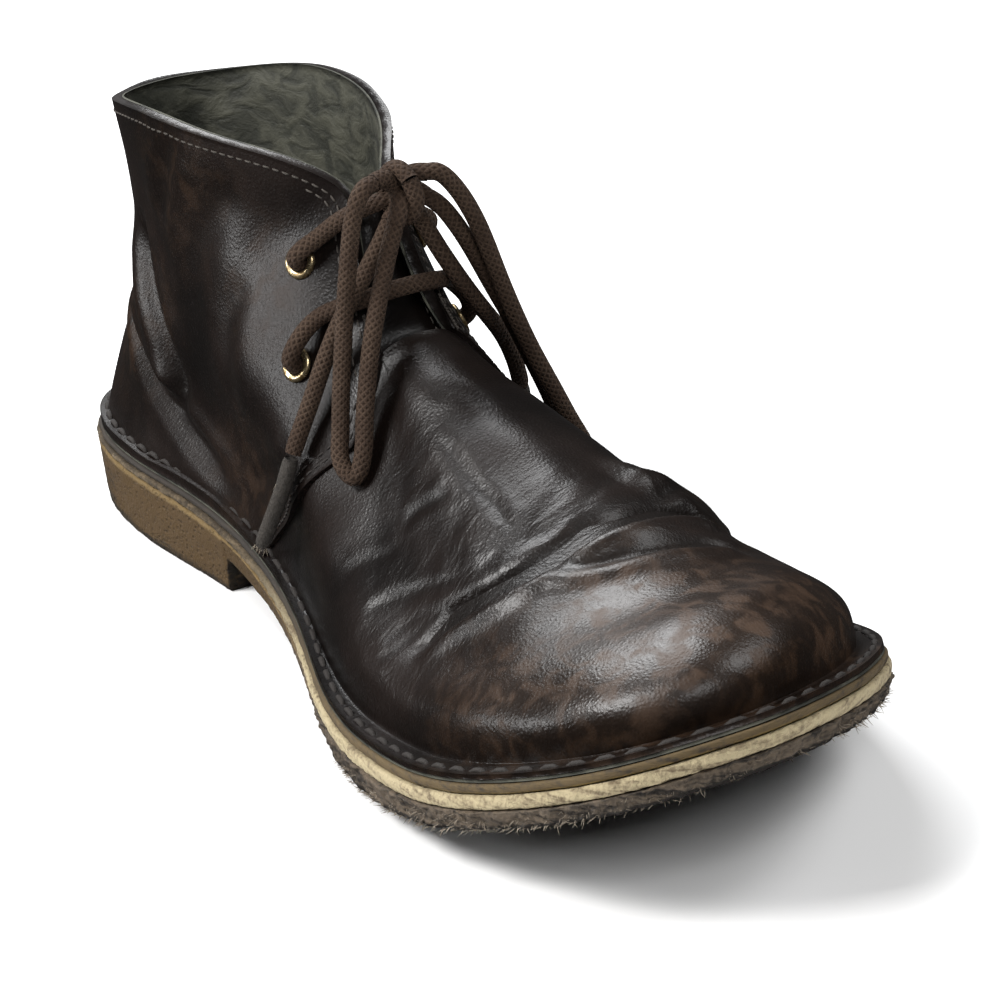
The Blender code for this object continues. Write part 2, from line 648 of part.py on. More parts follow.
KNOT_CENTRE = (2.0, 5.0, 111.1)
KNOT_SIZE = (5.8, 4.8, 5.0)
AGLET_RADIUS = 0.0019
CORD_SPACING = 0.0088

for name, route in (("lace_loop_inner", LOOP_INNER), ("lace_end_inner", END_INNER),
                    ("lace_loop_outer", LOOP_OUTER), ("lace_end_outer", END_OUTER)):
    cord(name, route, LACE_RADIUS, lace_brown, CORD_SPACING)
tip_brown = material("lace_tip", (0.05, 0.03, 0.02), 0.3)
cord("aglet_inner", AGLET_INNER, AGLET_RADIUS, tip_brown, CORD_SPACING)
cord("aglet_outer", AGLET_OUTER, AGLET_RADIUS, tip_brown, CORD_SPACING)

ball = bmesh.new()
size = Matrix.Diagonal(Vector((*KNOT_SIZE, 1 / MM)) * MM)
bmesh.ops.create_uvsphere(ball, u_segments=14, v_segments=9, radius=1,
                          matrix=Matrix.Translation(Vector(KNOT_CENTRE) * MM) @ size)
knot_mesh = bpy.data.meshes.new("lace_knot")
ball.to_mesh(knot_mesh)
ball.free()
knot_mesh.shade_smooth()
knot_mesh.materials.append(lace_brown)
bpy.context.scene.collection.objects.link(bpy.data.objects.new("lace_knot", knot_mesh))
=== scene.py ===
"""Looks of a worn chukka boot for the left foot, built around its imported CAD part.

Metres, toe towards -Y, outer side towards +X, the ground at Z 0. The sections follow the boot as it
is put together: sole, lining, vamp, quarters, seams, tongue, eyelets, lace and bow.
"""

import bmesh
import bpy
import numpy as np
from mathutils import Matrix, Vector


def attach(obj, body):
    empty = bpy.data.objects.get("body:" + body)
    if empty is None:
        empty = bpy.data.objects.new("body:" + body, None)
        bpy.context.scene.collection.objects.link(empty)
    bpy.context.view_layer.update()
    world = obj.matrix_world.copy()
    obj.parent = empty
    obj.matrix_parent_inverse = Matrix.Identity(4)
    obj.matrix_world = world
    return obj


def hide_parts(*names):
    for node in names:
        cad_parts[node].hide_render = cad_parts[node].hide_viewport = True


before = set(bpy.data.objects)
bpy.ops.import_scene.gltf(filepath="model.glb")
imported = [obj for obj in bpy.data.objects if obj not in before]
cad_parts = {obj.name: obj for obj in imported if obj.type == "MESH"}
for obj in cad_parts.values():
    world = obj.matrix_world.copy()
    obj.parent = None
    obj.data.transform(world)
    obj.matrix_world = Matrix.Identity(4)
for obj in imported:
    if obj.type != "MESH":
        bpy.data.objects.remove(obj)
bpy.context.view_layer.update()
MM = 0.001

# Camera, floor and light
# A white studio table in soft light. The camera stands where the photograph's did and is turned a
# little so that the one boot fills the frame, with the photograph's slight roll.
CAMERA_PLACE = Vector((-0.3143, -0.5662, 0.3211))
CAMERA_AIM = Vector((0.0012, -0.0318, 0.0470))
CAMERA_ROLL = 4.14
LENS = 108.0
FLOOR_SIZE = 12.0
FLOOR_COLOUR = (0.92, 0.92, 0.92, 1)
WORLD_LIGHT = 0.035
LAMPS = (
    # place, watts, width, colour
    ((-0.80, 0.25, 0.95), 20.0, 0.50, (1.0, 0.99, 0.98)),
    ((-0.35, -1.15, 1.10), 10.0, 0.60, (1.0, 1.0, 1.0)),
    ((0.95, -0.35, 1.30), 12.0, 0.80, (1.0, 1.0, 1.0)),
    ((0.25, 1.15, 1.25), 25.0, 0.80, (0.98, 0.99, 1.0)),
    ((-0.88, 0.52, 0.24), 2.6, 0.24, (1.0, 1.0, 1.0)),
)

bpy.context.scene.view_settings.view_transform = "Standard"
camera = bpy.data.objects.new("camera", bpy.data.cameras.new("camera"))
bpy.context.scene.collection.objects.link(camera)
camera.data.lens = LENS
camera.data.sensor_width = 36
camera.data.clip_start = 0.01
camera.rotation_mode = "QUATERNION"
sight = (CAMERA_AIM - CAMERA_PLACE).to_track_quat("-Z", "Y")
camera.location = CAMERA_PLACE
camera.rotation_quaternion = sight @ Matrix.Rotation(np.radians(-CAMERA_ROLL), 3, "Z").to_quaternion()
bpy.context.scene.camera = camera

world = bpy.data.worlds.new("studio")
bpy.context.scene.world = world
world.use_nodes = True
world.node_tree.nodes["Background"].inputs["Color"].default_value = (1, 1, 1, 1)
world.node_tree.nodes["Background"].inputs["Strength"].default_value = WORLD_LIGHT
for number, (place, watts, width, colour) in enumerate(LAMPS):
    lamp = bpy.data.objects.new(f"softbox_{number}", bpy.data.lights.new(f"softbox_{number}", "AREA"))
    lamp.data.energy, lamp.data.size, lamp.data.color = watts, width, colour
    lamp.location = place
    lamp.rotation_mode = "QUATERNION"
    lamp.rotation_quaternion = (CAMERA_AIM - Vector(place)).to_track_quat("-Z", "Y")
    bpy.context.scene.collection.objects.link(lamp)

floor_mesh = bpy.data.meshes.new("floor")
half = FLOOR_SIZE / 2
floor_mesh.from_pydata([(-half, -half, 0), (half, -half, 0), (half, half, 0), (-half, half, 0)], [],
                       [(0, 1, 2, 3)])
floor = bpy.data.objects.new("floor", floor_mesh)
bpy.context.scene.collection.objects.link(floor)
paper = bpy.data.materials.new("white_paper")
paper.use_nodes = True
paper.node_tree.nodes["Principled BSDF"].inputs["Base Color"].default_value = FLOOR_COLOUR
paper.node_tree.nodes["Principled BSDF"].inputs["Roughness"].default_value = 0.9
floor_mesh.materials.append(paper)
floor.visible_glossy = False

# Crepe outsole
# A slab of amber crepe rubber, cemented on in one piece with a low heel. Its cut edge is pitted and
# dirty, with painted shade under the heel's rim, and frayed to grey-brown round the forefoot.
LENGTH = 0.302
BALL_WIDTH = 0.112
HEEL_HEIGHT = 0.0183
OUTSOLE_THICKNESS = 0.0065
OUTSOLE_TOE = 0.0042
SOLE_TAPER = 0.0012
TOE_SPRING = 0.032
BREAST = 0.315
HEEL_FALL = (0.20, 0.575)
SPRING_START = 0.625
SPRING_CURVE = 1.8
TOE_WEAR = (0.68, 0.93)
LAYER_CHANGE = (0.1, 0.7)
OUTLINE = (
    # station, medial, lateral
    (0.02, -0.152, 0.138),
    (0.06, -0.227, 0.232),
    (0.12, -0.266, 0.295),
    (0.20, -0.273, 0.321),
    (0.30, -0.255, 0.339),
    (0.40, -0.271, 0.366),
    (0.50, -0.338, 0.411),
    (0.60, -0.433, 0.464),
    (0.66, -0.471, 0.495),
    (0.72, -0.492, 0.505),
    (0.78, -0.504, 0.493),
    (0.84, -0.490, 0.459),
    (0.89, -0.453, 0.394),
    (0.93, -0.407, 0.292),
    (0.965, -0.338, 0.164),
    (0.99, -0.220, 0.018),
)
HEEL_TIP = -0.009
TOE_TIP = -0.112


def smooth(knots, values, at, period=None):
    """A cubic spline through the values at the knots, natural at its ends or closed on a period."""
    knots, values = np.asarray(knots, float), np.asarray(values, float)
    at, count = np.asarray(at, float), len(knots)
    if period is None:
        step = np.diff(knots)
        rise = np.diff(values, axis=0) / step[:, None]
        system, right = np.eye(count), np.zeros_like(values)
        for i in range(1, count - 1):
            system[i, i - 1:i + 2] = step[i - 1], 2 * (step[i - 1] + step[i]), step[i]
            right[i] = 6 * (rise[i] - rise[i - 1])
        after = np.minimum(np.arange(count) + 1, count - 1)
        where = np.clip(np.searchsorted(knots, at, side="right") - 1, 0, count - 2)
    else:
        step = np.diff(np.r_[knots, knots[0] + period])
        after = (np.arange(count) + 1) % count
        rise = (values[after] - values) / step[:, None]
        system = np.zeros((count, count))
        for i in range(count):
            system[i, i - 1] += step[i - 1]
            system[i, i] += 2 * (step[i - 1] + step[i])
            system[i, after[i]] += step[i]
        right = 6 * (rise - np.roll(rise, 1, axis=0))
        at = (at - knots[0]) % period + knots[0]
        where = np.clip(np.searchsorted(knots, at, side="right") - 1, 0, count - 1)
    bend = np.linalg.solve(system, right)
    here, there = bend[where], bend[after[where]]
    width, run = step[where][:, None], (at - knots[where])[:, None]
    slope = rise[where] - width * (2 * here + there) / 6
    return values[where] + run * slope + run ** 2 * here / 2 + run ** 3 * (there - here) / (6 * width)


def eased(value, low, high):
    """0 below low, 1 above high, with a soft S between."""
    share = np.clip((np.asarray(value, float) - low) / (high - low), 0, 1)
    return share * share * (3 - 2 * share)


def station_of(along):
    """Share of the length from the back of the heel at a place along Y."""
    return 0.5 - np.asarray(along) / LENGTH


def bed(station):
    """Height of the outsole's top: level at the heel, falling to the ball and rising at the toe."""
    fall = 1 - eased(station, *HEEL_FALL)
    spring = np.clip((np.asarray(station, float) - SPRING_START) / (1 - SPRING_START), 0, 1)
    heel = (HEEL_HEIGHT - OUTSOLE_THICKNESS) * fall
    return OUTSOLE_THICKNESS + heel + TOE_SPRING * spring ** SPRING_CURVE


def thickness(station, heel, toe, change=LAYER_CHANGE):
    """A layer's thickness, from its heel value to its toe value over a part of the length."""
    return heel + (toe - heel) * eased(station, *change)


def tread(station):
    """Underside of the outsole: the heel stands on the ground, the rest follows the bed."""
    crepe = thickness(station, OUTSOLE_THICKNESS, OUTSOLE_TOE, TOE_WEAR)
    return np.where(station <= BREAST, 0, bed(station) - crepe)


def unit(ways):
    """Ways made one metre long; their last axis holds X, Y and Z."""
    return ways / np.linalg.norm(ways, axis=-1, keepdims=True)


def run_along(points):
    """Distance from the first point to each one, along them."""
    return np.r_[0, np.cumsum(np.linalg.norm(np.diff(points, axis=0), axis=1))]


half_widths = np.array(OUTLINE)
outline_y = LENGTH * (0.5 - half_widths[:, 0])
outline_knots = np.vstack((
    [(HEEL_TIP * BALL_WIDTH, LENGTH / 2)],
    np.column_stack((half_widths[:, 1] * BALL_WIDTH, outline_y)),
    [(TOE_TIP * BALL_WIDTH, -LENGTH / 2)],
    np.column_stack((half_widths[:, 2] * BALL_WIDTH, outline_y))[::-1],
))
chords = run_along(np.vstack((outline_knots, outline_knots[:1])))
way_round = chords[-1]
fine = np.linspace(0, way_round, 2401)
fine_points = smooth(chords[:-1], outline_knots, fine, way_round)
fine_run = run_along(fine_points)
toe_run = fine_run[np.argmin(fine_points[:, 1])]


def outline(turn, inset=0.0):
    """The sole's outline at turn (0 heel, 1 toe along the inner side, 2 heel), moved inwards."""
    turn = np.asarray(turn, float) % 2
    run = np.where(turn <= 1, turn * toe_run, toe_run + (turn - 1) * (fine_run[-1] - toe_run))
    at = np.interp(run, fine_run, fine)
    points = smooth(chords[:-1], outline_knots, at, way_round)
    nudge = way_round * 1e-4
    way = unit(smooth(chords[:-1], outline_knots, at + nudge, way_round)
               - smooth(chords[:-1], outline_knots, at - nudge, way_round))
    inward = np.column_stack((-way[:, 1], way[:, 0]))
    return points + inward * np.asarray(inset).reshape(-1, 1)


def hills(points, size, seed, waves=20):
    """Soft random hills about size apart: the mean of sine waves that run in random directions."""
    random = np.random.default_rng(seed)
    ways = unit(random.normal(size=(waves, 3)))
    pace = 2 * np.pi / (size * random.uniform(1.0, 2.6, waves))
    return np.sin(points @ (ways * pace[:, None]).T + random.uniform(0, 7, waves)).sum(-1) / waves ** 0.5


def mark(piece, name, values):
    """Stores one value per point on a piece, for its material to read."""
    layer = piece.data.attributes.new(name, "FLOAT", "POINT")
    layer.data.foreach_set("value", np.asarray(values, np.float32).ravel())


def piece_from(name, points, faces, finish, merge=False):
    """A mesh piece of the boot from points and quads, riding on the root body."""
    mesh = bpy.data.meshes.new(name)
    mesh.from_pydata(points.tolist(), [], faces if isinstance(faces, list) else faces.tolist())
    if merge:
        shape = bmesh.new()
        shape.from_mesh(mesh)
        bmesh.ops.remove_doubles(shape, verts=shape.verts, dist=2e-6)
        bmesh.ops.recalc_face_normals(shape, faces=shape.faces)
        shape.to_mesh(mesh)
        shape.free()
    mesh.shade_smooth()
    mesh.materials.append(finish)
    made = bpy.data.objects.new(name, mesh)
    bpy.context.scene.collection.objects.link(made)
    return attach(made, "root")


def grid_faces(rows, cols, around=False):
    """Quads of a grid of rows by cols points, joined into a tube where around is true."""
    row, col = np.meshgrid(np.arange(rows - 1), np.arange(cols if around else cols - 1), indexing="ij")
    after = (col + 1) % cols
    return np.stack((row * cols + col, row * cols + after, (row + 1) * cols + after,
                     (row + 1) * cols + col), axis=-1).reshape(-1, 4)


AROUND = 1100
FILL = np.linspace(0, 1, 14)[1:]
side_y = LENGTH / 2 * np.cos(np.linspace(0, np.pi, AROUND // 2 + 1))
inner_half = fine_points[:np.argmin(fine_points[:, 1]) + 1]
outer_half = fine_points[np.argmin(fine_points[:, 1]):]
inner_turn = np.interp(-side_y, -inner_half[:, 1], fine_run[:len(inner_half)] / toe_run)
outer_turn = np.interp(side_y, outer_half[:, 1], 1 + (fine_run[len(inner_half) - 1:] - toe_run)
                       / (fine_run[-1] - toe_run))
ring_turns = np.r_[inner_turn, outer_turn[-2:0:-1]]
ring_stations = station_of(np.r_[side_y, side_y[-2:0:-1]])
mirror = np.r_[0, np.arange(AROUND - 1, 0, -1)]


def filled(rings):
    """Rings with their first and last ones filled to the middle line in steps."""
    first, last = [[ring + ((ring + ring[mirror]) / 2 - ring) * share for share in FILL]
                   for ring in (rings[0], rings[-1])]
    return np.concatenate((np.array(first)[::-1], rings, np.array(last)))


def sole_layer(name, profile, low, high, finish, rough):
    """A layer of the sole, closed. Rings follow the outline, moved in by the profile's inset and set
    at its share of the height from low to high; the top and the underside are filled to the middle.
    Each ring is moved outwards by rough(points, stations). The mark rise holds the share."""
    rings = []
    for inset, share in profile:
        spot = outline(ring_turns, inset)
        station = station_of(spot[:, 1])
        bottom = np.where(ring_stations <= BREAST, low(np.minimum(station, BREAST)),
                          low(np.maximum(station, BREAST + 1e-4)))
        rings.append(np.column_stack((spot, bottom + (high(station) - bottom) * share)))
    rings = np.array(rings)
    outward = -(outline(ring_turns, 1.0) - outline(ring_turns, 0.0))
    rings[:, :, :2] += outward * rough(rings, ring_stations)[:, :, None]
    grid = filled(rings)
    made = piece_from(name, grid.reshape(-1, 3), grid_faces(len(grid), AROUND, True), finish, merge=True)
    spots = np.empty(len(made.data.vertices) * 3)
    made.data.vertices.foreach_get("co", spots)
    spots = spots.reshape(-1, 3)
    station = station_of(spots[:, 1])
    mark(made, "rise", (spots[:, 2] - low(station)) / (high(station) - low(station)))
    return made


def node(tree, kind, **settings):
    """A shader node of a kind with its settings."""
    made = tree.nodes.new(kind)
    for name, value in settings.items():
        setattr(made, name, value)
    return made


def feed(tree, socket, value):
    """Links a socket from another one, or sets it to a value or a colour."""
    if isinstance(value, bpy.types.NodeSocket):
        tree.links.new(value, socket)
    elif isinstance(value, tuple) and len(value) == 3 and socket.type == "RGBA":
        socket.default_value = (*value, 1)
    else:
        socket.default_value = value


def maths(tree, operation, first, second=0.0):
    """One step of arithmetic on two numbers."""
    made = node(tree, "ShaderNodeMath", operation=operation)
    feed(tree, made.inputs[0], first)
    feed(tree, made.inputs[1], second)
    return made.outputs[0]


def ranged(tree, value, low, high, start=0.0, end=1.0):
    """Start up to low, end from high on, with a soft S between."""
    made = node(tree, "ShaderNodeMapRange", interpolation_type="SMOOTHSTEP")
    for socket, number in zip(made.inputs[:5], (value, low, high, start, end)):
        feed(tree, socket, number)
    return made.outputs[0]


def mixed(tree, share, first, second):
    """The first colour at share 0, the second at 1."""
    made = node(tree, "ShaderNodeMix", data_type="RGBA")
    for socket, value in zip((made.inputs[0], made.inputs[6], made.inputs[7]), (share, first, second)):
        feed(tree, socket, value)
    return made.outputs[2]


def spot_scaled(tree, stretch):
    """Object coordinates divided by the three lengths of stretch, in metres."""
    scaled = node(tree, "ShaderNodeVectorMath", operation="DIVIDE")
    tree.links.new(node(tree, "ShaderNodeTexCoord").outputs["Object"], scaled.inputs[0])
    scaled.inputs[1].default_value = stretch
    return scaled.outputs[0]


def clouds(tree, size, detail=2.0, warp=0.0):
    """Noise from 0 to 1 with hills about size apart, a length or one for X, Y and Z."""
    made = node(tree, "ShaderNodeTexNoise")
    stretch = size if isinstance(size, tuple) else (size, size, size)
    tree.links.new(spot_scaled(tree, stretch), made.inputs["Vector"])
    made.inputs["Scale"].default_value = 1.0
    made.inputs["Detail"].default_value = detail
    made.inputs["Distortion"].default_value = warp
    return made.outputs["Fac"]


def cells(tree, size):
    """Distance from 0 to about 1 to the middle of the nearest cell, cells about size wide."""
    made = node(tree, "ShaderNodeTexVoronoi")
    tree.links.new(spot_scaled(tree, (size, size, size)), made.inputs["Vector"])
    made.inputs["Scale"].default_value = 1.0
    return made.outputs["Distance"]


def along_boot(tree):
    """Place along Y, in metres, the toe below zero."""
    made = node(tree, "ShaderNodeSeparateXYZ")
    tree.links.new(spot_scaled(tree, (1, 1, 1)), made.inputs[0])
    return made.outputs["Y"]


def marked(tree, name):
    """The value that a piece holds under a name."""
    return node(tree, "ShaderNodeAttribute", attribute_name=name).outputs["Fac"]


def effect(name, inputs, outputs):
    """A node group for an effect that several materials use, and its input and output nodes."""
    group = bpy.data.node_groups.new(name, "ShaderNodeTree")
    for label, kind in inputs:
        group.interface.new_socket(label, in_out="INPUT", socket_type="NodeSocket" + kind)
    for label, kind in outputs:
        group.interface.new_socket(label, in_out="OUTPUT", socket_type="NodeSocket" + kind)
    return group, group.nodes.new("NodeGroupInput").outputs, group.nodes.new("NodeGroupOutput").inputs


def use_effect(tree, group, **inputs):
    """An effect's node in a tree, its inputs fed by name."""
    made = node(tree, "ShaderNodeGroup", node_tree=group)
    for name, value in inputs.items():
        feed(tree, made.inputs[name.capitalize()], value)
    return made.outputs


def material(name):
    """A new material, its tree and its shader."""
    made = bpy.data.materials.new(name)
    made.use_nodes = True
    return made, made.node_tree, made.node_tree.nodes["Principled BSDF"]


def dress(tree, shader, colour, roughness, height, depth):
    """Feeds a shader's colour and roughness, and its normal from a height times a depth."""
    feed(tree, shader.inputs["Base Color"], colour)
    feed(tree, shader.inputs["Roughness"], roughness)
    bump = node(tree, "ShaderNodeBump")
    bump.inputs["Distance"].default_value = depth
    feed(tree, bump.inputs["Height"], height)
    tree.links.new(bump.outputs["Normal"], shader.inputs["Normal"])


# Dirt on the sole's edges: streaks along the edge and specks, more where the amount is higher
dirt, dirt_in, dirt_out = effect("edge_dirt", (("Clean", "Color"), ("Dirt", "Color"), ("Amount", "Float")),
                                 (("Colour", "Color"), ("Height", "Float")))
streak = clouds(dirt, (0.012, 0.012, 0.0012), 4.0, 0.4)
speck = clouds(dirt, 0.0011, 3.0)
blot = maths(dirt, "ADD", maths(dirt, "MULTIPLY", streak, 0.6), maths(dirt, "MULTIPLY", speck, 0.4))
level = maths(dirt, "ADD", blot, maths(dirt, "SUBTRACT", dirt_in["Amount"], 0.5))
soiled = ranged(dirt, level, 0.40, 0.66)
feed(dirt, dirt_out["Colour"], mixed(dirt, soiled, dirt_in["Clean"], dirt_in["Dirt"]))
feed(dirt, dirt_out["Height"], blot)

crepe, tree, shader = material("crepe_rubber")
CREPE_BUMPS, FOREFOOT_BUMPS = 0.00007, 0.00030
AMBER, AMBER_DEEP, AMBER_RIM = (0.078, 0.043, 0.0095), (0.058, 0.031, 0.0075), (0.16, 0.105, 0.036)
FOREFOOT, AMBER_DIRT, FOREFOOT_DIRT = (0.105, 0.078, 0.052), (0.016, 0.011, 0.006), (0.018, 0.014, 0.011)
place = along_boot(tree)
front = ranged(tree, place, 0.045, -0.03)
rise = marked(tree, "rise")
patchy = clouds(tree, 0.014, 3.0)
clean = mixed(tree, front, mixed(tree, patchy, AMBER, AMBER_DEEP), FOREFOOT)
soil = mixed(tree, front, AMBER_DIRT, FOREFOOT_DIRT)
low_edge = ranged(tree, rise, 0.30, 0.0)
# Painted shade under the heel's rim: the dirt amount, and with it the dark, rises towards the back of the
# heel.
back = ranged(tree, place, 0.10, 0.152, 0.0, 0.42)
amount = maths(tree, "ADD", maths(tree, "MULTIPLY", low_edge, 0.34),
               maths(tree, "ADD", back, maths(tree, "MULTIPLY", front, 0.20)))
stain = use_effect(tree, dirt, clean=clean, dirt=soil, amount=maths(tree, "ADD", amount, 0.30))
rim = maths(tree, "MULTIPLY", ranged(tree, rise, 0.90, 0.97), maths(tree, "SUBTRACT", 1.0, front))
pits = ranged(tree, cells(tree, 0.0016), 0.10, 0.42)
dress(tree, shader, mixed(tree, maths(tree, "MULTIPLY", rim, 0.8), stain["Colour"], AMBER_RIM),
      ranged(tree, patchy, 0.2, 0.8, 0.62, 0.85),
      maths(tree, "ADD", pits, maths(tree, "MULTIPLY", clouds(tree, 0.0006, 4.0), 0.9)), 0.0004)


def crepe_edge(points, station):
    """How far the crepe's cut edge stands out: bumps of 3 mm and 1.3 mm, larger at the forefoot."""
    size = CREPE_BUMPS + FOREFOOT_BUMPS * eased(station, 0.42, 0.60)
    return size * (hills(points, 0.003, 3) + 0.6 * hills(points, 0.0013, 4))


OUTSOLE_PROFILE = [(SOLE_TAPER + 0.0007, 0.0), (SOLE_TAPER + 0.0003, 0.02), (SOLE_TAPER, 0.06)] + [
    (SOLE_TAPER * (1 - share), share) for share in np.linspace(0.12, 0.96, 20)] + [(0.0003, 1.0)]
outsole = sole_layer("crepe_outsole", OUTSOLE_PROFILE, tread, bed, crepe, crepe_edge)
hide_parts("outsole")

# Midsole and welt layer
# Two thin layers over the crepe: a cream rubber midsole, fuzzy where it was ground, and a raw tan
# leather layer that the stitches of the turned-out upper go through. Both turn dark towards the heel
# as painted shade under the upper's overhang.
GAP = 0.0003
MIDSOLE_HEEL = 0.0014
MIDSOLE_TOE = 0.0032
WELT_HEEL = 0.0014
WELT_TOE = 0.0022
EDGE_MARGIN = 0.0014


def midsole_top(station):
    """Top of the midsole, a glue line above the outsole."""
    return bed(station) + GAP + thickness(station, MIDSOLE_HEEL, MIDSOLE_TOE)


def welt_top(station):
    """Top of the tan layer."""
    return midsole_top(station) + GAP + thickness(station, WELT_HEEL, WELT_TOE)


def seat(station):
    """Underside of the turned-out upper and of the insole."""
    return welt_top(station) + GAP


def ground_edge(points, station):
    """How far the midsole's ground edge stands out: small torn bumps."""
    return 0.00012 * hills(points, 0.0022, 6) + 0.00009 * hills(points, 0.0009, 7)


def cut_edge(points, station):
    """How far the tan layer's knife-cut edge stands out: slow waves."""
    return 0.00010 * hills(points, 0.006, 8)


CREAM, CREAM_HEEL_SHADE, CREAM_DIRT = (0.40, 0.335, 0.205), (0.040, 0.028, 0.015), (0.13, 0.095, 0.055)
RAW_TAN, RAW_LINE = (0.095, 0.064, 0.025), (0.19, 0.13, 0.036)
TAN_HEEL_SHADE, TAN_DIRT = (0.022, 0.017, 0.013), (0.035, 0.025, 0.016)
LAYER_PROFILE = ((0.0007, 0.0), (0.0003, 0.08), (0.0001, 0.2), (0.0, 0.35), (0.0, 0.5), (0.0, 0.65),
                 (0.0001, 0.8), (0.0003, 0.92), (0.0007, 1.0))
cream, tree, shader = material("cream_rubber")
# Painted shade: the cream turns near black towards the heel, under the upper's overhang.
heel_shade = ranged(tree, along_boot(tree), -0.02, 0.05)
stain = use_effect(tree, dirt, clean=mixed(tree, heel_shade, CREAM, CREAM_HEEL_SHADE), dirt=CREAM_DIRT, amount=0.47)
dress(tree, shader, stain["Colour"], 0.9, clouds(tree, 0.0007, 5.0, 0.5), 0.0006)
midsole = sole_layer("cream_midsole", LAYER_PROFILE, lambda s: bed(s) + GAP, midsole_top, cream, ground_edge)
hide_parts("midsole")

tan, tree, shader = material("tan_leather")
# Painted shade: the tan turns dark towards the heel, under the upper's overhang.
heel_shade = ranged(tree, along_boot(tree), -0.04, 0.03)
low_line = ranged(tree, marked(tree, "rise"), 0.30, 0.05)
raw = mixed(tree, low_line, RAW_TAN, RAW_LINE)
stain = use_effect(tree, dirt, clean=mixed(tree, heel_shade, raw, TAN_HEEL_SHADE), dirt=TAN_DIRT, amount=0.46)
dress(tree, shader, stain["Colour"], 0.8, clouds(tree, (0.004, 0.004, 0.0004), 4.0), 0.0003)
welt = sole_layer("tan_welt", [(inset + EDGE_MARGIN / 2, share) for inset, share in LAYER_PROFILE],
                  lambda s: midsole_top(s) + GAP, welt_top, tan, cut_edge)
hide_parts("welt")

# Frayed edge
# Grey-brown rubber and midsole threads torn loose along the edge of the forefoot, where the boot
# scrapes the ground. Each is a thin three-sided strand with a bend.
FRAY_STATIONS = (0.56, 1.0)
FRAY_COUNT, FRAY_WIDTH, FRAY_LENGTHS = 900, 0.00022, (0.0006, 0.0021)
FRAY_INSETS, FRAY_SPREAD, FRAY_DROOP = (-0.0002, 0.0006), 0.55, -0.25
NEAR_GROUND, INNER_SHARE = 0.004, 0.6
STRAND_BEND, STRAND_TAPER = 0.45, 0.75
FIBRE_DARK, FIBRE_LIGHT = (0.10, 0.08, 0.06), (0.42, 0.36, 0.28)


def strands(name, roots, ways, lengths, width, finish, seed):
    """Three-sided strands from their roots along their ways, each bent to one side and tapered.
    The bend grows with the square of the share of the strand's length."""
    random = np.random.default_rng(seed)
    count = len(roots)
    ways = unit(ways)
    side = unit(np.cross(ways, random.normal(size=(count, 3))))
    other = np.cross(ways, side)
    share = np.linspace(0, 1, 4)
    bend = random.uniform(-STRAND_BEND, STRAND_BEND, (count, 1))
    spine = (roots[:, None] + ways[:, None] * (share[:, None] * lengths[:, None, None])
             + side[:, None] * ((share ** 2)[:, None] * (bend * lengths[:, None])[:, :, None]))
    angle = np.arange(3) * 2 * np.pi / 3
    ring = (side[:, None, None] * np.cos(angle)[None, None, :, None]
            + other[:, None, None] * np.sin(angle)[None, None, :, None])
    taper = (1 - STRAND_TAPER * share)[None, :, None, None] * width / 2
    points = (spine[:, :, None] + ring * taper).reshape(-1, 3)
    one = np.concatenate((grid_faces(4, 3, True), [[2, 1, 0, 0], [9, 10, 11, 11]]))
    faces = (one[None] + (np.arange(count) * 12)[:, None, None]).reshape(-1, 4)
    return piece_from(name, points, [tuple(dict.fromkeys(quad)) for quad in faces.tolist()], finish)


fuzz, tree, shader = material("torn_fibre")
dress(tree, shader, mixed(tree, clouds(tree, 0.004), FIBRE_DARK, FIBRE_LIGHT), 0.9,
      clouds(tree, 0.0005), 0.0001)
random = np.random.default_rng(12)
station = random.uniform(*FRAY_STATIONS, FRAY_COUNT) ** 0.8
where = np.interp(station, ring_stations[:AROUND // 2], ring_turns[:AROUND // 2])
where = np.where(random.uniform(size=FRAY_COUNT) < INNER_SHARE, where, 2 - where)
spot = outline(where, SOLE_TAPER + random.uniform(*FRAY_INSETS, FRAY_COUNT))
place = station_of(spot[:, 1])
share = random.uniform(0, 1, FRAY_COUNT) ** 2.2
roots = np.column_stack((spot, tread(place) + (bed(place) - tread(place)) * share * 0.9))
out = np.column_stack((outline(where) - outline(where, 1.0), np.full(FRAY_COUNT, FRAY_DROOP)))
ways = out + random.normal(0, FRAY_SPREAD, (FRAY_COUNT, 3))
ways[:, 2] = np.where(roots[:, 2] < NEAR_GROUND, abs(ways[:, 2]) * 0.3, ways[:, 2])
lengths = random.uniform(*FRAY_LENGTHS, FRAY_COUNT)
fray = strands("frayed_edge", roots, ways, lengths, FRAY_WIDTH, fuzz, 13)

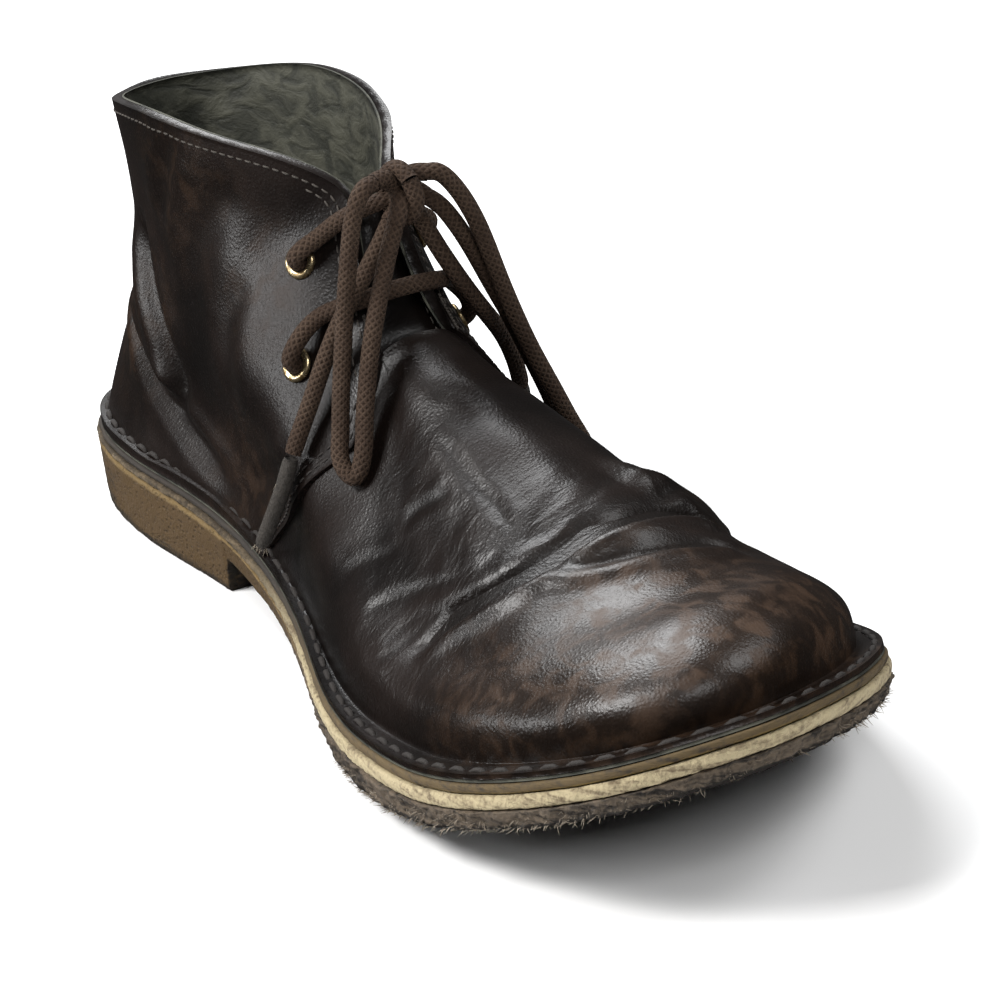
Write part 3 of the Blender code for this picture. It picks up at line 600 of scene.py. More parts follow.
# The last's shape
# The upper is pulled over a last. Its inner face is a surface of turn, round the boot, and height,
# from the feather line to the top edge, through rails set at shares of the boot's sizes.
FLANGE_WIDTH = 0.0078
WALL = 0.0018
QUARTER_STEP = 0.0013
FEATHER_RADIUS = 0.003
SHAFT_HEIGHT = 0.114
SHAFT_LEAN = 0.0025
RIDGE_FOLLOWS = (0.45, 0.75)
SECTIONS = (
    # round, flange, wall inset, wall up, side (across, along, up), crown (across, along, up)
    (0.0, 0.68, 0.092, 0.150, (0.00, 0.066, 0.51), (0.00, 0.093, 0.74)),
    (0.1, 0.70, 0.100, 0.150, (0.255, 0.109, 0.53), (0.25, 0.128, 0.75)),
    (0.2, 0.66, 0.094, 0.150, (0.365, 0.182, 0.54), (0.355, 0.189, 0.77)),
    (0.3, 0.60, 0.081, 0.150, (0.41, 0.288, 0.54), (0.39, 0.275, 0.79)),
    (0.4, 0.54, 0.068, 0.150, (0.44, 0.387, 0.52), (0.33, 0.374, 0.76)),
    (0.5, 0.62, 0.064, 0.125, (0.47, 0.487, 0.44), (0.24, 0.467, 0.65)),
    (0.6, 0.80, 0.072, 0.105, (0.59, 0.593, 0.34), (0.29, 0.546, 0.530)),
    (0.7, 0.95, 0.083, 0.085, (0.675, 0.705, 0.30), (0.38, 0.626, 0.472)),
    (0.8, 1.00, 0.090, 0.085, (0.595, 0.810, 0.37), (0.36, 0.705, 0.460)),
    (0.9, 1.00, 0.094, 0.085, (0.355, 0.880, 0.44), (0.19, 0.765, 0.470)),
    (1.0, 1.00, 0.092, 0.085, (0.00, 0.904, 0.480), (0.00, 0.791, 0.475)),
)
TOPLINE = (
    # round, across, along, up
    (0.00, 0.00, 0.095, 0.995),
    (0.10, 0.275, 0.120, 1.005),
    (0.20, 0.41, 0.184, 1.035),
    (0.29, 0.42, 0.268, 1.045),
    (0.345, 0.33, 0.341, 1.030),
    (0.375, 0.19, 0.394, 1.005),
    (0.395, 0.085, 0.424, 0.965),
    (0.420, 0.070, 0.440, 0.900),
    (0.46, 0.095, 0.455, 0.795),
    (0.51, 0.135, 0.476, 0.695),
    (0.545, 0.160, 0.489, 0.655),
    (0.58, 0.155, 0.493, 0.650),
    (0.70, 0.105, 0.497, 0.664),
    (0.85, 0.050, 0.500, 0.672),
    (1.00, 0.00, 0.501, 0.674),
)
RAIL_SHARES = (0.0, 0.13, 0.42, 0.74, 1.0)
FEATHER_SHARE = 0.7
FLAT_ROWS, FILLET_ROWS = 6, 5
LOW_ROWS = FLAT_ROWS + FILLET_ROWS


def both_sides(rows):
    """Turns for rows given from heel to toe, mirrored to the outer side."""
    turns = np.array([row[0] for row in rows])
    return np.r_[turns, 2 - turns[-2:0:-1]], np.r_[np.arange(len(rows)), np.arange(len(rows) - 2, 0, -1)]


def placed(turns, across, along, up):
    """Points from shares of half the ball width, the length and the shaft's height."""
    half = (half_widths[:, 1] + half_widths[:, 2]) / 2
    middle = np.interp(along, np.r_[0, half_widths[:, 0], 1], np.r_[HEEL_TIP, half, TOE_TIP]) * BALL_WIDTH
    side = np.where(turns <= 1, -1.0, 1.0)
    ridge = middle * eased(along, *RIDGE_FOLLOWS) + SHAFT_LEAN * up
    return np.column_stack((ridge + side * across * BALL_WIDTH / 2, LENGTH * (0.5 - along),
                            up * SHAFT_HEIGHT))


turns_of_sections, row_of_sections = both_sides(SECTIONS)
section_rows = [SECTIONS[i] for i in row_of_sections]
section_flange = np.array([[row[1]] for row in section_rows])
section_wall = outline(turns_of_sections, np.array([row[2] for row in section_rows]) * BALL_WIDTH)
section_wall_up = (seat(station_of(section_wall[:, 1]))
                   + np.array([row[3] for row in section_rows]) * SHAFT_HEIGHT)
section_side = placed(turns_of_sections, *np.array([row[4] for row in section_rows]).T)
section_crown = placed(turns_of_sections, *np.array([row[5] for row in section_rows]).T)
turns_of_topline, row_of_topline = both_sides(TOPLINE)
topline_rows = np.array([TOPLINE[i] for i in row_of_topline])
topline_edge = placed(turns_of_topline, *topline_rows.T[1:])


def flange_and_feather(turn):
    """Width of the turned-out edge, its inner radius and the point where the wall starts to rise."""
    flange = smooth(turns_of_sections, section_flange, turn, 2)[:, 0] * FLANGE_WIDTH
    fillet = np.minimum(FEATHER_RADIUS, FEATHER_SHARE * flange)
    base = outline(turn, EDGE_MARGIN + flange)
    return flange, fillet, np.column_stack((base, seat(station_of(base[:, 1])) + fillet))


def wall_surface(turn, height):
    """The upper's inner face at turn and height, both arrays of one shape."""
    turn, height = np.broadcast_arrays(np.asarray(turn, float), np.asarray(height, float))
    shape, turn, height = turn.shape, turn.ravel(), height.ravel()
    walls = np.column_stack((section_wall, section_wall_up))
    rails = np.stack((
        flange_and_feather(turn)[2],
        smooth(turns_of_sections, walls, turn, 2),
        smooth(turns_of_sections, section_side, turn, 2),
        smooth(turns_of_sections, section_crown, turn, 2),
        smooth(turns_of_topline, topline_edge, turn, 2),
    ))
    blend = smooth(RAIL_SHARES, np.eye(5), height)
    return np.einsum("nk,knd->nd", blend, rails).reshape(shape + (3,))


def on_wall(turn, height, lift):
    """Points lift above the inner face at turn and height, and the ways that the face looks there."""
    turn, height = np.broadcast_arrays(np.asarray(turn, float), np.asarray(height, float))
    step = 0.003
    along = wall_surface(turn + step, height) - wall_surface(turn - step, height)
    rise = wall_surface(turn, height + step) - wall_surface(turn, height - step)
    out = unit(np.cross(along, rise))
    return wall_surface(turn, height) + out * lift, out


def lasted(turn, heights):
    """Rows of the upper's inner face, from the outer edge of the turned-out flange through the fillet
    up the wall. turn is rows by columns, heights are the wall rows' heights."""
    low = turn[0]
    flange, fillet, _ = flange_and_feather(low)
    rows = []
    for out in np.linspace(1, 0, FLAT_ROWS):
        spot = outline(low, EDGE_MARGIN + (flange - fillet) * (1 - out))
        rows.append(np.column_stack((spot, seat(station_of(spot[:, 1])))))
    wall = wall_surface(turn, heights[:, None])
    start, finish = rows[-1], wall[0]
    flat = (finish - start) * (1, 1, 0)
    for t in np.linspace(0, 1, FILLET_ROWS + 2)[1:-1]:
        rows.append((1 - t) ** 2 * start + 2 * t * (1 - t) * (start + flat) + t * t * finish)
    return np.concatenate((np.array(rows), wall))


def looks_out(face, around):
    """Unit normals of a grid whose columns go round the boot and rows go up, pointing outwards."""
    if around:
        along = np.roll(face, -1, axis=1) - np.roll(face, 1, axis=1)
    else:
        along = np.gradient(face, axis=1)
    return unit(np.cross(along, np.gradient(face, axis=0)))


def skin_piece(name, inner, outer, finish, around, kept=None, marks=None, soft_edge=0.0005):
    """A leather piece between two grids of points, with walls along every edge of the kept quads and
    those edges rounded by soft_edge. marks are values for each grid point."""
    rows, cols = inner.shape[:2]
    quads = grid_faces(rows, cols, around)
    if kept is not None:
        quads = quads[kept.ravel()]
    edges = np.concatenate([quads[:, [i, (i + 1) % 4]] for i in range(4)])
    forward = edges[:, 0] * rows * cols + edges[:, 1]
    backward = edges[:, 1] * rows * cols + edges[:, 0]
    rim = edges[~np.isin(forward, backward)]
    back = rows * cols
    walls = np.column_stack((rim[:, 1], rim[:, 0], rim[:, 0] + back, rim[:, 1] + back))
    faces = np.concatenate((quads + back, quads[:, ::-1], walls))
    points = np.concatenate((inner.reshape(-1, 3), outer.reshape(-1, 3)))
    used = np.unique(faces)
    index = np.zeros(len(points), int)
    index[used] = np.arange(len(used))
    made = piece_from(name, points[used], index[faces], finish)
    for label, values in (marks or {}).items():
        mark(made, label, np.r_[values.ravel(), values.ravel()][used])
    if soft_edge:
        bevel = made.modifiers.new("soft_edge", "BEVEL")
        bevel.width, bevel.segments, bevel.limit_method = soft_edge, 2, "ANGLE"
        bevel.angle_limit = np.radians(60)
    return made


def creased(points, outward, folds):
    """Points worked by folds, and how deep each point lies in a trough, 0 to 1, which the material
    uses to paint shade into the folds. Along a fold's path the surface is pressed in by
    depth * exp(-(d / width)^2), d the distance from the path. Beside it, it is raised by the left or the
    right welt * exp(-((d - 1.8 width) / (1.2 width))^2). Both fade to the path's ends. A negative depth makes
    a ridge."""
    shape = points.shape
    flat, out = points.reshape(-1, 3), outward.reshape(-1, 3)
    move, sunk = np.zeros(len(flat)), np.zeros(len(flat))
    for width, depth, left, right, path in folds:
        path = np.array(path)
        knots = np.arange(len(path))
        line = smooth(knots, path, np.linspace(0, len(path) - 1, 6 * len(path)))
        line = on_wall(line[:, 0], line[:, 1], WALL)[0]
        reach = 6 * width * MM
        near = np.flatnonzero(((flat > line.min(0) - reach) & (flat < line.max(0) + reach)).all(1))
        if not len(near):
            continue
        start, way = line[:-1], np.diff(line, axis=0)
        gap = flat[near, None] - start
        share = np.clip((gap * way).sum(2) / (way ** 2).sum(1), 0, 1)
        apart = gap - share[:, :, None] * way
        distance = np.linalg.norm(apart, axis=2)
        nearest = distance.argmin(1)
        pick = np.arange(len(near)), nearest
        distance = distance[pick] / (width * MM)
        at = (nearest + share[pick]) / len(way)
        side = np.sign((np.cross(way[nearest], apart[pick]) * out[near]).sum(1))
        fade = eased(at, 0, 0.18) * (1 - eased(at, 0.82, 1))
        trough = np.exp(-distance ** 2) * fade
        welt = np.exp(-((distance - 1.8) / 1.2) ** 2) * fade
        move[near] += (np.where(side > 0, right, left) * welt - depth * trough) * MM
        sunk[near] = np.maximum(sunk[near], trough * min(1, abs(depth) * 1.5) * (depth > 0))
    return (flat + out * move[:, None]).reshape(shape), sunk.reshape(shape[:-1])


def patches(points, table):
    """Soft round patches: the largest of strength * exp(-(d / radius)^2) over the table's places."""
    value = np.zeros(points.shape[:-1])
    for turn, height, radius, strength in table:
        centre = on_wall(turn, height, WALL)[0]
        distance = np.linalg.norm(points - centre, axis=-1) / (radius * MM)
        value = np.maximum(value, strength * np.exp(-distance ** 2))
    return value


# Insole and lining
# A leather footbed lies on the seat, and a thin grey-olive leather lining, crumpled with wear, covers
# the inside of the upper up to the collar.
INSOLE_THICKNESS = 0.0025
INSOLE_EASE = 0.0008
LINING_DEPTH = 0.0007
LINING_HAIR = 0.00008
LINING_COLUMNS, LINING_ROWS = 300, 60
CRUMPLE = 0.0005
OLIVE_CREASE_SHADE, OLIVE_GREY = (0.017, 0.018, 0.012), (0.056, 0.056, 0.040)
FOOTBED_DARK, FOOTBED_BROWN = (0.06, 0.045, 0.03), (0.11, 0.085, 0.06)
grey, tree, shader = material("grey_lining")
rumple = clouds(tree, (0.009, 0.009, 0.0045), 5.0, 0.8)
fine_grain = clouds(tree, 0.0012, 4.0)
# Painted shade: the lining is darker in the troughs of its crumple bump, both from the same clouds.
shade = mixed(tree, ranged(tree, rumple, 0.35, 0.65), OLIVE_CREASE_SHADE, OLIVE_GREY)
dress(tree, shader, shade, 0.72, maths(tree, "ADD", rumple, maths(tree, "MULTIPLY", fine_grain, 0.2)), 0.0009)
turns = np.linspace(0, 2, LINING_COLUMNS, endpoint=False)
heights = np.linspace(0, 1, LINING_ROWS) ** 0.9
face = lasted(np.tile(turns, (LINING_ROWS, 1)), heights)
out = looks_out(face, True)
row_heights = np.r_[np.zeros(LOW_ROWS), heights][:, None]
wrinkled = (CRUMPLE * np.clip(hills(face * (1, 1, 0.5), 0.007, 21), -1, 1.2)
            * eased(row_heights, 0.1, 0.3) * (1 - eased(row_heights, 0.93, 1.0)))
lining = skin_piece("lining", face - out * np.maximum(wrinkled, 0)[:, :, None],
                    face + out * (LINING_DEPTH - LINING_HAIR), grey, True, soft_edge=0.0)
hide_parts("upper")

footbed_leather, tree, shader = material("footbed")
dress(tree, shader, mixed(tree, clouds(tree, 0.02, 4.0), FOOTBED_DARK, FOOTBED_BROWN), 0.6,
      clouds(tree, 0.001, 4.0), 0.0003)
ring = outline(ring_turns, EDGE_MARGIN + flange_and_feather(ring_turns)[0] + INSOLE_EASE)
shares = np.r_[0, 0.1, 0.5, 0.9, 1]
rings = np.array([np.column_stack((ring, seat(station_of(ring[:, 1])) + INSOLE_THICKNESS * share))
                  for share in shares])
grid = filled(rings)
footbed = piece_from("footbed", grid.reshape(-1, 3), grid_faces(len(grid), AROUND, True), footbed_leather,
                     merge=True)
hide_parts("insole")

# Vamp
# One piece of dark brown waxed leather over the toe and instep, with its back edge tucked under the
# quarters. A deep flex crease with a roll of leather, fine wrinkles and scuffs have worked into it.
SEAM = ((0.0, 0.388), (0.28, 0.470), (0.49, 0.528), (0.58, 0.548), (1.0, 0.555))
TUCK = 0.008
VAMP_COLUMNS, VAMP_ROWS = 324, 124
VAMP_WAVE, FLEX_WAVE = 0.00018, 0.00016
VAMP_FOLDS = (
    # half width, depth, left welt and right welt in millimetres, path of turns and heights
    (2.6, 2.5, 0.4, 1.5, ((1.20, 0.50), (1.205, 0.57), (1.205, 0.623), (1.177, 0.697), (1.12, 0.747),
                          (1.047, 0.773), (0.973, 0.777), (0.91, 0.753), (0.863, 0.723), (0.827, 0.69),
                          (0.792, 0.647), (0.757, 0.59), (0.723, 0.507), (0.695, 0.393), (0.672, 0.247))),
    (2.4, 1.3, 0.3, 1.0, ((1.165, 0.53), (1.148, 0.623), (1.11, 0.683), (1.045, 0.723), (0.975, 0.733),
                          (0.918, 0.723), (0.873, 0.707), (0.842, 0.69))),
    (6.0, -2.9, 0.0, 0.0, ((1.28, 0.52), (1.25, 0.60), (1.23, 0.68), (1.19, 0.76), (1.12, 0.80))),
    (1.9, 0.6, 0.3, 0.4, ((1.23, 0.60), (1.225, 0.66), (1.205, 0.715), (1.13, 0.76), (1.065, 0.788),
                          (0.987, 0.795), (0.925, 0.773), (0.873, 0.747))),
    (1.7, 0.39, 0.15, 0.2, ((1.24, 0.70), (1.21, 0.75), (1.16, 0.79), (1.08, 0.812), (1.008, 0.812),
                          (0.922, 0.787), (0.86, 0.757), (0.833, 0.74))),
    (1.7, 0.33, 0.15, 0.2, ((0.76, 0.88), (0.788, 0.86), (0.803, 0.833), (0.823, 0.807), (0.832, 0.78),
                          (0.835, 0.763))),
    (1.7, 0.44, 0.15, 0.2, ((0.637, 0.613), (0.668, 0.69), (0.71, 0.753), (0.762, 0.803))),
    (1.7, 0.28, 0.1, 0.15, ((0.568, 0.307), (0.593, 0.403), (0.617, 0.483), (0.642, 0.553))),
    (1.7, 0.44, 0.15, 0.2, ((0.643, 0.183), (0.665, 0.307), (0.688, 0.437), (0.717, 0.53), (0.758, 0.61))),
    (1.7, 0.33, 0.1, 0.15, ((0.645, 0.253), (0.665, 0.383), (0.69, 0.483), (0.725, 0.56))),
    (1.7, 0.28, 0.1, 0.15, ((0.612, 0.273), (0.633, 0.387), (0.663, 0.49), (0.705, 0.583), (0.747, 0.633))),
    (1.7, 0.28, 0.1, 0.15, ((0.708, 0.64), (0.747, 0.667), (0.782, 0.693), (0.808, 0.717))),
    (1.7, 0.22, 0.1, 0.15, ((0.717, 0.67), (0.757, 0.697), (0.79, 0.72))),
    (1.7, 0.22, 0.1, 0.15, ((0.727, 0.633), (0.768, 0.663), (0.797, 0.683))),
    (1.7, 0.22, 0.1, 0.15, ((0.788, 0.933), (0.878, 0.94), (0.955, 0.933), (0.998, 0.92))),
    (1.7, 0.22, 0.1, 0.15, ((0.59, 0.913), (0.64, 0.95), (0.713, 0.973), (0.80, 0.975))),
    (1.7, 0.28, 0.1, 0.15, ((1.052, 0.837), (0.97, 0.827), (0.903, 0.80), (0.862, 0.773))),
    (1.7, 0.28, 0.1, 0.15, ((1.127, 0.81), (1.063, 0.827), (1.015, 0.84))),
    (1.7, 0.61, 0.3, 0.5, ((1.23, 0.55), (1.27, 0.45), (1.32, 0.33), (1.36, 0.2))),
    (1.7, 0.39, 0.15, 0.2, ((1.27, 0.62), (1.33, 0.50), (1.38, 0.36))),
    (1.7, 0.33, 0.1, 0.15, ((1.31, 0.66), (1.37, 0.56), (1.41, 0.44))),
)
# Soft patches: turn, height, radius in millimetres, strength
FLEX = ((0.72, 0.55, 26, 1.0), (0.80, 0.72, 26, 1.0), (1.05, 0.79, 26, 0.9), (0.66, 0.35, 22, 0.9),
        (1.25, 0.65, 26, 1.0), (0.70, 0.80, 20, 0.6))
WORN = ((0.93, 0.59, 20, 0.9), (0.995, 0.30, 22, 0.9), (0.91, 0.34, 24, 0.8), (1.12, 0.16, 20, 0.8),
        (0.80, 0.25, 20, 0.55), (1.04, 0.62, 16, 0.6), (1.30, 0.25, 22, 0.5))


def seam_turn(height):
    """Turn of the quarters' front edge at a height, on the inner side."""
    table = np.array(SEAM)
    return np.interp(height, table[:, 0], table[:, 1])


# Waxed leather: a base from black-brown to red-brown, tan where it is worn through, pebble grain,
# wrinkles across the boot where it flexes, and scratches, with painted shade in the troughs of the folds.
# The three inputs are shares from 0 to 1: the wear, which on the quarters also paints a sheen, the
# flex, and the depth in a fold's trough.
hide, hide_in, hide_out = effect("waxed_leather", (("Worn", "Float"), ("Flex", "Float"), ("Sunk", "Float")),
                                 (("Colour", "Color"), ("Roughness", "Float"), ("Height", "Float")))
BLACK_BROWN, RED_BROWN = (0.0032, 0.0022, 0.0019), (0.0082, 0.0046, 0.0034)
WARM_BROWN, TAN_BROWN = (0.024, 0.0130, 0.0068), (0.070, 0.034, 0.0145)
# Painted shade, mixed into the troughs of the folds by their depth.
CREASE_SHADE_BROWN = (0.004, 0.003, 0.0025)
tone = clouds(hide, 0.035, 4.0)
pebble = ranged(hide, cells(hide, 0.0008), 0.05, 0.70, 1.0, 0.0)
pores = clouds(hide, 0.00045, 3.0)
wrinkle = clouds(hide, (0.016, 0.0034, 0.0050), 2.0, 1.6)
scratch = ranged(hide, clouds(hide, (0.0006, 0.022, 0.006), 3.0, 0.5), 0.66, 0.74)
rub = maths(hide, "MULTIPLY", hide_in["Worn"], ranged(hide, clouds(hide, 0.006, 5.0, 0.6), 0.42, 0.66))
rub = maths(hide, "MAXIMUM", rub, maths(hide, "MULTIPLY", maths(hide, "MULTIPLY", scratch, 0.5),
                                        hide_in["Worn"]))
base = mixed(hide, ranged(hide, tone, 0.35, 0.70), BLACK_BROWN, RED_BROWN)
warm = mixed(hide, maths(hide, "MULTIPLY", hide_in["Worn"], 0.60), base, WARM_BROWN)
worn_through = mixed(hide, maths(hide, "MULTIPLY", rub, 0.60), warm, TAN_BROWN)
feed(hide, hide_out["Colour"], mixed(hide, maths(hide, "MULTIPLY", hide_in["Sunk"], 0.75), worn_through,
                                     CREASE_SHADE_BROWN))
feed(hide, hide_out["Roughness"], maths(
    hide, "ADD", ranged(hide, tone, 0.3, 0.7, 0.28, 0.40), maths(hide, "MULTIPLY", rub, 0.22)))
folds_height = maths(hide, "MULTIPLY", wrinkle,
                     maths(hide, "ADD", maths(hide, "MULTIPLY", hide_in["Flex"], 0.42), 0.03))
grain = maths(hide, "ADD", maths(hide, "MULTIPLY", pebble, 0.055), maths(hide, "MULTIPLY", pores, 0.07))
feed(hide, hide_out["Height"], maths(hide, "SUBTRACT", maths(hide, "ADD", folds_height, grain),
                                     maths(hide, "MULTIPLY", rub, 0.05)))

leather, tree, shader = material("brown_leather")
skin = use_effect(tree, hide, worn=marked(tree, "worn"), flex=marked(tree, "flex"), sunk=marked(tree, "sunk"))
dress(tree, shader, skin["Colour"], skin["Roughness"], skin["Height"], 0.0006)
shader.inputs["Specular IOR Level"].default_value = 0.33

wall_heights = np.linspace(0, 1, VAMP_ROWS) ** 0.9
edge_turn = seam_turn(wall_heights) - TUCK
share = np.linspace(0, 1, VAMP_COLUMNS)
vamp_turn = edge_turn[:, None] + (2 - 2 * edge_turn)[:, None] * share
vamp_face = lasted(vamp_turn, wall_heights)
vamp_out = looks_out(vamp_face, False)
vamp_top = vamp_face + vamp_out * WALL
flex = patches(vamp_top, FLEX)
vamp_top, sunk = creased(vamp_top, vamp_out, VAMP_FOLDS)
soft = eased(np.r_[np.zeros(LOW_ROWS), wall_heights], 0.02, 0.12)[:, None]
uneven = VAMP_WAVE * hills(vamp_top, 0.012, 31) + FLEX_WAVE * flex * hills(vamp_top * (0.4, 1, 1), 0.0060, 32)
vamp_top = vamp_top + vamp_out * (soft * uneven)[:, :, None]
vamp = skin_piece("vamp", vamp_face + vamp_out * LINING_DEPTH, vamp_top, leather, False,
                  marks={"worn": patches(vamp_top, WORN), "flex": flex, "sunk": sunk})
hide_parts("upper")

# Quarters
# Two pieces of the same leather round the heel, closed by a back seam. They lap over the vamp and
# carry the eyelets, and their front edges stand open over the tongue. The ankle has folded in.
EYELETS = {"upper": (0.423, 0.835), "lower": (0.464, 0.600)}
EYELET_BARREL = 0.0030
EYELET_HOLE = 0.0033
QUARTER_COLUMNS, QUARTER_ROWS = 380, 92
QUARTER_FOLDS = (
    # half width, depth, left welt and right welt in millimetres, path of turns and heights
    (4.5, 3.2, 1.8, 0.9, ((0.16, 0.78), (0.185, 0.62), (0.215, 0.46), (0.235, 0.34), (0.245, 0.22),
                          (0.235, 0.10))),
    (3.2, 2.2, 0.9, 1.0, ((0.11, 0.50), (0.13, 0.36), (0.165, 0.24), (0.215, 0.15), (0.28, 0.08),
                          (0.34, 0.03))),
    (3.5, 1.1, 0.5, 0.5, ((0.30, 0.98), (0.27, 0.86), (0.25, 0.74))),
    (4.0, 1.2, 0.5, 0.5, ((1.82, 0.72), (1.78, 0.56), (1.76, 0.40), (1.77, 0.25))),
    (3.0, 0.9, 0.4, 0.4, ((1.89, 0.55), (1.86, 0.38), (1.80, 0.22), (1.72, 0.10))),
    (2.5, 0.8, 0.4, 0.4, ((0.46, 0.36), (0.43, 0.28), (0.39, 0.18), (0.35, 0.10))),
    (5.5, 0.9, 0.3, 0.3, ((0.355, 0.93), (0.335, 0.80), (0.31, 0.66), (0.30, 0.50))),
    (4.5, 0.8, 0.2, 0.3, ((0.40, 0.72), (0.375, 0.60), (0.365, 0.46), (0.35, 0.32))),
)
QUARTER_WAVE = 0.00040
# Wear on the quarters, partly painted sheen: turn, height, radius in millimetres, strength. The first two
# patches sit where the quarter shines in the light and lighten its colour as a painted sheen.
QUARTER_WEAR_AND_SHEEN = ((0.30, 0.88, 20, 0.25), (0.40, 0.72, 14, 0.25), (0.14, 0.30, 16, 0.35),
                (0.22, 0.50, 12, 0.3), (0.36, 0.10, 18, 0.3), (1.70, 0.15, 22, 0.3))
QUARTER_FLEX = ((0.20, 0.45, 22, 0.35), (0.46, 0.35, 16, 0.4))


def quarter_worked(points, outward):
    """The quarters' outer face with its folds and a slow unevenness."""
    points, sunk = creased(points, outward, QUARTER_FOLDS)
    return points + outward * (QUARTER_WAVE * hills(points, 0.020, 41))[..., None], sunk


quarter_heights = np.linspace(0, 1, QUARTER_ROWS) ** 0.9
share = np.linspace(-1, 1, QUARTER_COLUMNS)
quarter_turn = seam_turn(quarter_heights)[:, None] * share
quarter_face = lasted(quarter_turn, quarter_heights)
quarter_out = looks_out(quarter_face, False)
quarter_top, sunk = quarter_worked(quarter_face + quarter_out * (WALL + QUARTER_STEP), quarter_out)
centres = (quarter_face[:-1, :-1] + quarter_face[1:, 1:]) / 2
kept = np.ones(centres.shape[:2], bool)
for turn, height in EYELETS.values():
    for way in (turn, 2 - turn):
        kept &= np.linalg.norm(centres - wall_surface(way, height), axis=2) > EYELET_HOLE
quarters = skin_piece("quarters", quarter_face + quarter_out * LINING_DEPTH, quarter_top, leather, False,
                      kept, {"worn": patches(quarter_top, QUARTER_WEAR_AND_SHEEN), "sunk": sunk * 0.5,
                             "flex": patches(quarter_top, QUARTER_FLEX)})
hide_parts("upper")

# Seams and stitches
# Waxed thread sewn by machine: one row under the collar and down the open fronts, two along each
# quarter's front seam with a bar at its top, a back seam, and large hand stitches on the flange.
# Thread browns: the first is painted shade for the low places of the thread's bump, the second the thread's
# colour.
WAXED_BROWNS = (0.008, 0.006, 0.005), (0.020, 0.015, 0.012)
COLLAR_BROWNS = (0.030, 0.025, 0.020), (0.060, 0.050, 0.041)
# Stitches: length, radius and pitch
FLANGE_STITCH = (0.0056, 0.00075, 0.0068)
FINE_STITCH = (0.0023, 0.00030, 0.0030)
COLLAR_STITCH = (0.0021, 0.00027, 0.0027)
BAR_STITCH = (0.0011, 0.00042, 0.0009)
# Rows under the collar: name, depth below the edge, turn of the first stitch
COLLAR_ROWS = (("collar_row", 0.0030, 0.0), ("front_row", 0.0052, 0.385))
COLLAR_CORNER = 0.545
SEAM_INSETS, BACK_INSETS, FLANGE_INSET = (0.0020, 0.0044), (-0.0014, 0.0014), 0.0021
BAR_SPAN, BAR_RISE = (0.0008, 0.0060), 0.0002
SIDES = (("inner", 1), ("outer", -1))
CAPSULE = ((-0.5, 0.15), (-0.44, 0.75), (-0.2, 1.0), (0.2, 1.0), (0.44, 0.75), (0.5, 0.15))
CAPSULE_SIDES = 6


def thread(name, browns, rough):
    """Twisted thread, its two browns and its bump from the same clouds, so that the darker brown lies as
    painted shade in the bump's low places.
    """
    made, tree, shader = material(name)
    ply = clouds(tree, (0.0005, 0.0005, 0.0009), 3.0)
    dress(tree, shader, mixed(tree, ply, *browns), rough, ply, 0.0002)
    return made


def stitch_row(name, spots, outs, size, finish):
    """Stitches along a path of spots, each a capsule that arches out and dips in at its ends by
    one radius: height = radius * (0.5 - 4 share^2 * 1.1). size is length, radius and pitch."""
    length, radius, pitch = size
    run = run_along(spots)
    middles = np.arange(pitch / 2, run[-1], pitch)
    spot = np.column_stack([np.interp(middles, run, spots[:, i]) for i in range(3)])
    out = np.column_stack([np.interp(middles, run, outs[:, i]) for i in range(3)])
    way = unit(np.column_stack([np.interp(middles + pitch / 3, run, spots[:, i])
                                - np.interp(middles - pitch / 3, run, spots[:, i]) for i in range(3)]))
    over = unit(np.cross(out, way))
    rings = np.array(CAPSULE)
    angle = np.arange(CAPSULE_SIDES) * 2 * np.pi / CAPSULE_SIDES
    along = np.repeat(rings[:, 0], CAPSULE_SIDES)
    wide = np.outer(rings[:, 1], np.cos(angle)).ravel() * radius
    high = np.outer(rings[:, 1], np.sin(angle)).ravel() * radius * 0.8 + radius * (0.5 - 4.4 * along ** 2)
    points = (spot[:, None] + way[:, None] * (along * length)[:, None] + over[:, None] * wide[:, None]
              + out[:, None] * high[:, None]).reshape(-1, 3)
    count = len(CAPSULE) * CAPSULE_SIDES
    one = grid_faces(len(CAPSULE), CAPSULE_SIDES, True).tolist()
    caps = [list(range(CAPSULE_SIDES))[::-1], list(range(count - CAPSULE_SIDES, count))]
    faces = [[corner + first for corner in face] for first in range(0, len(spot) * count, count)
             for face in one + caps]
    made = piece_from(name, points, faces, finish)
    return made


def beside(turn, height, over, down, lift):
    """Places over metres beside and down metres below (turn, height) on the quarters' outer face."""
    step = 0.002
    wide = np.linalg.norm(wall_surface(turn + step, height) - wall_surface(turn - step, height), axis=-1)
    tall = np.linalg.norm(wall_surface(turn, height) - wall_surface(turn, height - 2 * step), axis=-1)
    spots, outs = on_wall(turn + over * 2 * step / wide, height - down * 2 * step / tall, WALL + lift)
    return quarter_worked(spots, outs)[0], outs


def on_side(turn, side):
    """A turn of the inner side as it is, or with side -1 its mirror place on the outer side."""
    return turn if side > 0 else 2 - turn


